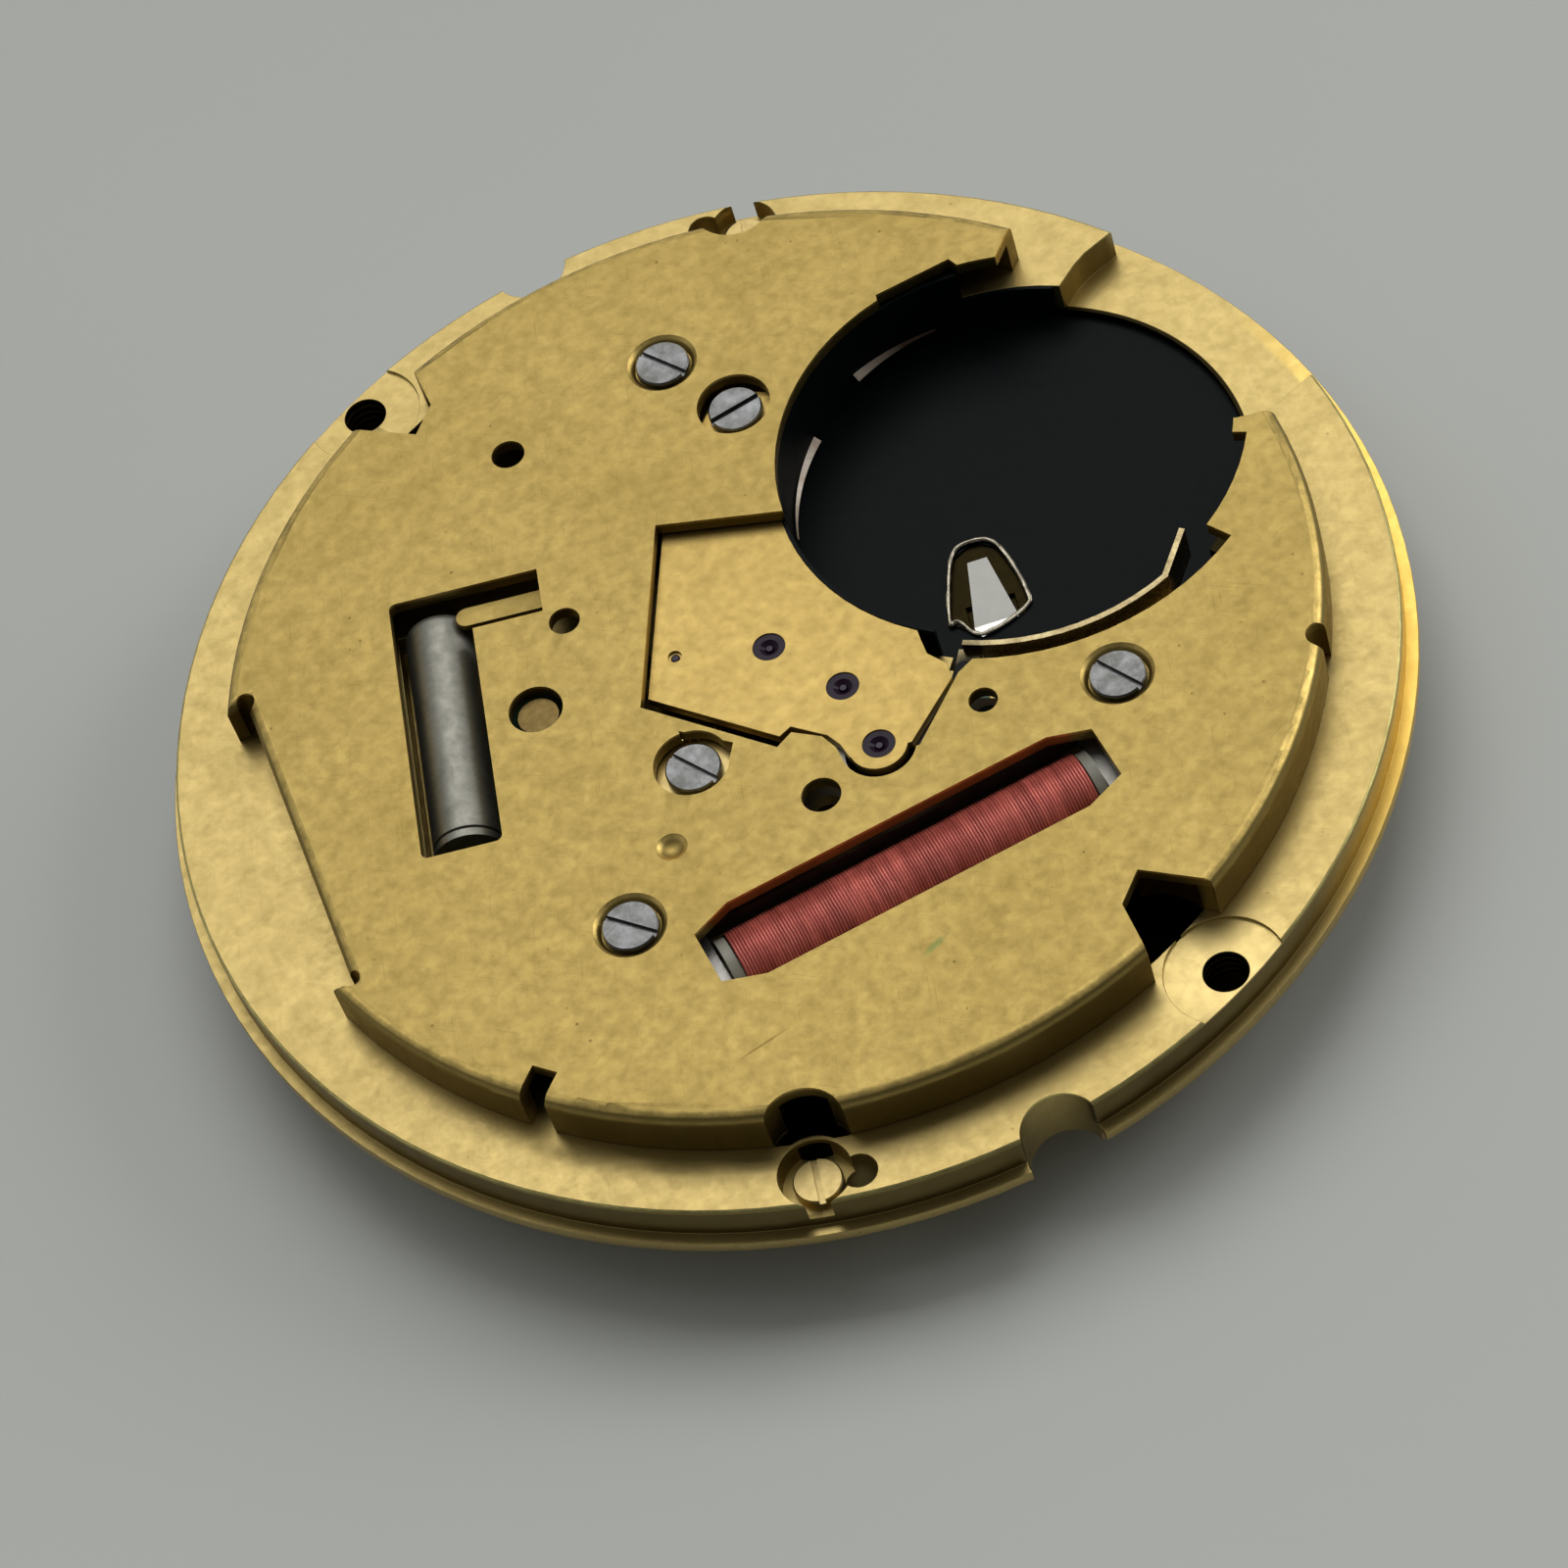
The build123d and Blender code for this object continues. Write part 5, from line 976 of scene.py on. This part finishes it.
@dataclass
class CoilWinding:
    """Enamelled wire of the motor coil, wound turn by turn.

    Attributes:
        center: Middle of the coil.
        length: Length of the winding.
        radius: Radius at the middle of the wire.
        wire_radius: Radius of the wire.
        turns: Number of turns.
        points_per_turn: Points on each turn.
        wire_sides: Sides of the wire's section.
        wander: How far the turns stray in and out.
        wander_size: Length over which they stray.
    """

    center: Vector = field(default_factory=lambda: Vector((0.15, -6.36, 1.33)) * MM)
    length: float = 7.80 * MM
    radius: float = 0.880 * MM
    wire_radius: float = 0.039 * MM
    turns: float = 120.0
    points_per_turn: int = 20
    wire_sides: int = 5
    wander: float = 0.035 * MM
    wander_size: float = 0.30 * MM

    def build(self, finishes: Finishes) -> Piece:
        """Builds the winding, which stands for the CAD solid of its outer form.

        Args:
            finishes: The materials.

        Returns:
            The new piece.
        """
        mesh = bpy.data.meshes.new("coil_wire")
        piece = add_piece("coil_wire", mesh)
        tree = self._tree()
        modifier = piece.modifiers.new("winding", "NODES")
        modifier.node_group = tree
        values = {
            "Turns": self.turns, "Radius": self.radius, "Length": self.length,
            "Wire Radius": self.wire_radius, "Wander": self.wander, "Seed": SEED,
            "Material": finishes.material(WIRE),
        }
        for item in tree.interface.items_tree:
            if item.in_out == "INPUT" and item.name in values:
                modifier[item.identifier] = values[item.name]
        bake_modifiers(piece)
        piece.data.transform(Matrix.Translation(self.center) @ Matrix.Rotation(math.pi / 2, 4, "Y"))
        piece.data.transform(Matrix.Translation(Vector((-self.length / 2, 0, 0))))
        finishes.dress(piece, WIRE)
        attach(piece, "movement")
        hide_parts("coil_winding")
        return piece

    def _tree(self) -> bpy.types.NodeTree:
        """Builds the Geometry Nodes tree of the winding.

        Returns:
            The tree.
        """
        tree = bpy.data.node_groups.new("winding", "GeometryNodeTree")
        for name, kind in (
            ("Geometry", "Geometry"), ("Turns", "Float"), ("Radius", "Float"), ("Length", "Float"),
            ("Wire Radius", "Float"), ("Wander", "Float"), ("Seed", "Int"), ("Material", "Material"),
        ):
            tree.interface.new_socket(name, in_out="INPUT", socket_type=f"NodeSocket{kind}")
        tree.interface.new_socket("Geometry", in_out="OUTPUT", socket_type="NodeSocketGeometry")
        given = add_node(tree, "NodeGroupInput").outputs
        result = add_node(tree, "NodeGroupOutput")
        link = tree.links.new
        spiral = add_node(tree, "GeometryNodeCurveSpiral")
        spiral.inputs["Resolution"].default_value = self.points_per_turn
        link(given["Turns"], spiral.inputs["Rotations"])
        link(given["Radius"], spiral.inputs["Start Radius"])
        link(given["Radius"], spiral.inputs["End Radius"])
        link(given["Length"], spiral.inputs["Height"])

        place = add_node(tree, "GeometryNodeInputPosition")
        wave = add_node(tree, "ShaderNodeTexNoise", noise_dimensions="4D")
        wave.inputs["Scale"].default_value = 1 / self.wander_size
        wave.inputs["Detail"].default_value = 2.0
        link(place.outputs["Position"], wave.inputs["Vector"])
        link(given["Seed"], wave.inputs["W"])
        centred = add_node(tree, "ShaderNodeMath", operation="SUBTRACT")
        centred.inputs[1].default_value = 0.5
        link(wave.outputs["Fac"], centred.inputs[0])
        amount = add_node(tree, "ShaderNodeMath", operation="MULTIPLY")
        link(centred.outputs[0], amount.inputs[0])
        link(given["Wander"], amount.inputs[1])
        flat = add_node(tree, "ShaderNodeVectorMath", operation="MULTIPLY")
        flat.inputs[1].default_value = (1.0, 1.0, 0.0)
        link(place.outputs["Position"], flat.inputs[0])
        outward = add_node(tree, "ShaderNodeVectorMath", operation="NORMALIZE")
        link(flat.outputs["Vector"], outward.inputs[0])
        offset = add_node(tree, "ShaderNodeVectorMath", operation="SCALE")
        link(outward.outputs["Vector"], offset.inputs[0])
        link(amount.outputs[0], offset.inputs["Scale"])
        moved = add_node(tree, "GeometryNodeSetPosition")
        link(spiral.outputs["Curve"], moved.inputs["Geometry"])
        link(offset.outputs["Vector"], moved.inputs["Offset"])

        profile = add_node(tree, "GeometryNodeCurvePrimitiveCircle")
        profile.inputs["Resolution"].default_value = self.wire_sides
        link(given["Wire Radius"], profile.inputs["Radius"])
        swept = add_node(tree, "GeometryNodeCurveToMesh")
        swept.inputs["Fill Caps"].default_value = True
        link(moved.outputs["Geometry"], swept.inputs["Curve"])
        link(profile.outputs["Curve"], swept.inputs["Profile Curve"])
        real = add_node(tree, "GeometryNodeRealizeInstances")
        link(swept.outputs["Mesh"], real.inputs["Geometry"])
        dressed = add_node(tree, "GeometryNodeSetMaterial")
        link(real.outputs["Geometry"], dressed.inputs["Geometry"])
        link(given["Material"], dressed.inputs["Material"])
        link(dressed.outputs["Geometry"], result.inputs["Geometry"])
        return tree


@dataclass
class WindowLip:
    """Torn, turned-up lip of the film round the tongue's window, in a pale metal colour that paints its
    highlight.

    Attributes:
        outline: Points of the window's edge, in millimetres.
        level: Level of the film's floor there.
        radius: Half thickness of the lip.
        rise: Height of the lip.
        steps: Rings between two points of the outline.
        sides: Corners of each ring.
        crease_size: Length of the small creases.
        fold_size: Length of the large folds.
        crease_share: How far a crease changes the thickness.
        rise_shares: How far a fold and a crease change the height.
        fold_shift: How far a fold moves the lip sideways.
        smooth: Smoothing angle in degrees.
    """

    outline: tuple[Place, ...] = (
        (3.71, -0.21), (4.45, 1.21), (5.03, 1.37), (5.44, 0.95),
        (5.42, -0.46), (5.17, -0.79), (4.19, -0.93), (3.85, -0.40),
    )
    level: float = 0.40 * MM
    radius: float = 0.050 * MM
    rise: float = 0.085 * MM
    steps: int = 14
    sides: int = 7
    crease_size: float = 0.16 * MM
    fold_size: float = 0.55 * MM
    crease_share: float = 0.35
    rise_shares: Span = (0.55, 0.30)
    fold_shift: float = 0.02 * MM
    smooth: float = 50.0

    def build(self, finishes: Finishes) -> Piece:
        """Builds the lip.

        Args:
            finishes: The materials.

        Returns:
            The new piece.
        """
        path = self._path()
        shape = bmesh.new()
        rings = []
        for index, place in enumerate(path):
            along = (path[(index + 1) % len(path)] - path[index - 1]).normalized()
            across = Vector((along.y, -along.x, 0.0))
            crease = noise.noise(place / self.crease_size)
            fold = noise.noise(place / self.fold_size + Vector((5.0, 2.0, 1.0)))
            thick = self.radius * (1.0 + self.crease_share * crease)
            tall = self.rise * (1.0 + self.rise_shares[0] * fold + self.rise_shares[1] * crease)
            ring = []
            for side in range(self.sides):
                turn = 2 * math.pi * side / self.sides
                out = across * (thick * math.cos(turn) + self.fold_shift * fold)
                up = Vector((0.0, 0.0, max(0.0, tall * (0.5 + 0.5 * math.sin(turn)))))
                ring.append(shape.verts.new(place + out + up))
            rings.append(ring)
        join_rings(shape, rings, closed=True)
        return make_contact("window_lip", shape, self.smooth, LIP_PAINTED_HIGHLIGHT, finishes)

    def _path(self) -> list[Vector]:
        """Rounds the outline into a closed smooth path.

        Returns:
            The points of the path.
        """
        points = [Vector((x, y, 0.0)) * MM + Vector((0.0, 0.0, self.level)) for x, y in self.outline]
        path = []
        for index in range(len(points)):
            before, start = points[index - 1], points[index]
            end, after = points[(index + 1) % len(points)], points[(index + 2) % len(points)]
            for step in range(self.steps):
                share = step / self.steps
                path.append(0.5 * (
                    2 * start + (end - before) * share
                    + (2 * before - 5 * start + 4 * end - after) * share**2
                    + (3 * start - before - 3 * end + after) * share**3
                ))
        return path


@dataclass
class WallBlades:
    """Bright side springs that show through gaps in the well's film.

    Attributes:
        spans: Start angle, angle of the tapered end, level and height of each blade.
        radius: Radius of their upper edges, about the middle of the well.
        lean: How far their lower edges stand in from the upper ones.
        drop: How far the tapered end lies lower than the other.
        narrowing: Share of the height that the tapered end loses.
        thickness: Thickness of the sheet.
        steps: Steps along a blade.
        smooth: Smoothing angle in degrees.
    """

    spans: tuple[tuple[float, float, float, float], ...] = (
        (110.0, 85.0, 0.92 * MM, 0.12 * MM),
        (129.0, 161.0, 0.62 * MM, 0.09 * MM),
    )
    radius: float = 4.80 * MM
    lean: float = 0.15 * MM
    drop: float = 0.08 * MM
    narrowing: float = 0.85
    thickness: float = 0.02 * MM
    steps: int = 18
    smooth: float = 40.0

    def build(self, finishes: Finishes) -> Piece:
        """Builds the blades.

        Args:
            finishes: The materials.

        Returns:
            The new piece.
        """
        shape = bmesh.new()
        back = Vector((0.0, 0.0, -self.thickness))
        for start, end, level, height in self.spans:
            rings = []
            for step in range(self.steps + 1):
                share = step / self.steps
                turn = math.radians(start + (end - start) * share)
                out = Vector((math.cos(turn), math.sin(turn), 0.0))
                taper = 1.0 - self.narrowing * share
                up = Vector((0.0, 0.0, level - self.drop * share))
                middle = WELL_CENTER + out * (self.radius - 0.5 * self.lean) + up
                rise = (Vector((0.0, 0.0, 0.5 * height)) + out * 0.5 * self.lean) * taper
                section = (-rise, rise, rise + back, back - rise)
                rings.append([shape.verts.new(middle + place) for place in section])
            join_rings(shape, rings, closed=False)
        return make_contact("well_blades", shape, self.smooth, BLADE, finishes)


def dress_nodes(nodes: dict[str, Piece], finishes: Finishes) -> None:
    """Gives every CAD node its finish.

    Args:
        nodes: The frame's nodes by name.
        finishes: The materials.
    """
    for name, node in nodes.items():
        finishes.dress(node, NODE_FINISHES[name])
    LOG.info("%d nodes dressed", len(nodes))


def set_camera() -> None:
    """Places the camera where the photograph was taken from."""
    flip = Matrix.Diagonal(Vector((1, -1, -1)))
    turn = Matrix.Rotation(CAMERA_ROLL, 3, "Z") @ Matrix.Rotation(CAMERA_TILT, 3, "X") @ flip
    yaw = Matrix.Rotation(-CAMERA_YAW, 3, "Z")
    place = yaw @ -(turn.transposed() @ CAMERA_OFFSET) + Vector((0, 0, RING_PLANE))
    world = (yaw @ turn.transposed() @ flip).to_4x4()
    world.translation = place
    data = bpy.data.cameras.new("camera")
    data.sensor_width = SENSOR
    data.lens = SENSOR * FOCAL_PIXELS / PHOTO_PIXELS
    data.clip_start = CLIP_START
    data.clip_end = CLIP_END
    camera = bpy.data.objects.new("camera", data)
    camera.matrix_world = world
    bpy.context.scene.collection.objects.link(camera)
    bpy.context.scene.camera = camera


@dataclass(frozen=True)
class Lamp:
    """A soft rectangular lamp that looks at the movement.

    Attributes:
        name: Name of the lamp.
        place: Where it hangs.
        size: Width and height.
        power: Radiant power.
    """

    name: str
    place: Vector
    size: Span
    power: float

    def build(self) -> None:
        """Adds the lamp to the scene."""
        data = bpy.data.lights.new(self.name, "AREA")
        data.shape = "RECTANGLE"
        data.size, data.size_y = self.size
        data.energy = self.power
        lamp = bpy.data.objects.new(self.name, data)
        lamp.location = self.place
        lamp.rotation_euler = (-self.place).to_track_quat("-Z", "Y").to_euler()
        bpy.context.scene.collection.objects.link(lamp)


LAMPS = (
    Lamp("key", Vector((0.09, 0.245, 0.420)), (0.42, 0.30), 0.86),
    Lamp("back_left", Vector((-0.24, 0.24, 0.36)), (0.20, 0.20), 0.08),
    Lamp("side", Vector((0.42, 0.02, 0.24)), (0.20, 0.20), 0.42),
)


@dataclass(frozen=True)
class Studio:
    """Floor, world and lamps.

    Attributes:
        floor_color: Colour of the floor, linear RGB.
        floor_half: Half width of the floor.
        floor_roughness: Roughness of the floor.
        cloud_size: Size of the floor's faint clouds.
        cloud_tone: Tone of the clouds against the floor's colour.
        back: Places along the Y axis between which painted shade makes the floor darker.
        back_painted_shade: How much darker the painted shade makes it behind them.
        world_color: Colour of the world, linear RGB.
        world_strength: Strength of the world.
        dark_side: Direction of the darker side.
        dark_span: Where the darkening starts and ends along it.
        dark_share: Tone of the dark side against the rest.
    """

    floor_color: Color = (0.69, 0.705, 0.67)
    floor_half: float = 1.2
    floor_roughness: float = 0.6
    cloud_size: float = 30 * MM
    cloud_tone: float = 0.97
    back: Span = (-0.03, 0.07)
    back_painted_shade: float = 0.21
    world_color: Color = (0.72, 0.74, 0.72)
    world_strength: float = 0.38
    dark_side: tuple[float, float, float] = (-0.17, -0.98, 0.0)
    dark_span: Span = (-0.1, 0.7)
    dark_share: float = 0.28

    def build(self) -> None:
        """Adds the studio to the scene."""
        self._floor()
        self._world()
        for lamp in LAMPS:
            lamp.build()

    def _floor(self) -> None:
        """Adds a pale floor under the hand posts, with painted shade that makes it darker towards the
        back.
        """
        half = self.floor_half
        plan = ((-half, -half), (half, -half), (half, half), (-half, half))
        mesh = bpy.data.meshes.new("floor")
        mesh.from_pydata([(x, y, FLOOR_LEVEL) for x, y in plan], [], [(0, 1, 2, 3)])
        floor = add_piece("floor", mesh)
        shader = Shader("floor")
        body = shader.surface()
        body.inputs["Roughness"].default_value = self.floor_roughness
        cloud = shader.ramp(shader.noise(self.cloud_size, 2.0), 0.3, 0.7)
        color = shader.mix(cloud, self.floor_color, tuple(c * self.cloud_tone for c in self.floor_color))
        # Painted shade: the floor darker towards the back.
        back = shader.ramp(shader.axis("Y"), *self.back, 0.0, self.back_painted_shade)
        color = shader.mix(back, color, (0.0, 0.0, 0.0))
        shader.link(color, body.inputs["Base Color"])
        mesh.materials.append(shader.material)

    def _world(self) -> None:
        """Sets a pale world that is darker where the photographer stood."""
        world = bpy.data.worlds.new("world")
        world.use_nodes = True
        tree = world.node_tree
        link = tree.links.new
        sky = tree.nodes["Background"]
        sky.inputs["Strength"].default_value = self.world_strength
        place = add_node(tree, "ShaderNodeTexCoord")
        along = add_node(tree, "ShaderNodeVectorMath", operation="DOT_PRODUCT")
        along.inputs[1].default_value = self.dark_side
        link(place.outputs["Generated"], along.inputs[0])
        share = add_node(tree, "ShaderNodeMapRange")
        share.inputs["From Min"].default_value, share.inputs["From Max"].default_value = self.dark_span
        share.inputs["To Min"].default_value = 1.0
        share.inputs["To Max"].default_value = self.dark_share
        link(along.outputs["Value"], share.inputs["Value"])
        tone = add_node(tree, "ShaderNodeVectorMath", operation="SCALE")
        tone.inputs[0].default_value = self.world_color
        link(share.outputs["Result"], tone.inputs["Scale"])
        link(tone.outputs["Vector"], sky.inputs["Color"])
        bpy.context.scene.world = world


def main() -> None:
    """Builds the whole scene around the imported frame."""
    logging.basicConfig(level=logging.INFO, format="%(name)s: %(message)s")
    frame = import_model()
    bpy.context.scene.view_settings.view_transform = "Standard"
    set_camera()
    finishes = Finishes()
    dress_nodes(frame["nodes"], finishes)
    pieces = [softened.build(frame["nodes"][softened.node], finishes) for softened in SOFTENED_NODES]
    for part in (CoilWinding(), WindowLip(), WallBlades()):
        pieces.append(part.build(finishes))
    for piece in pieces:
        LOG.info("%s: %d faces", piece.name, len(piece.data.polygons))
    Studio().build()


if __name__ == "__main__":
    main()
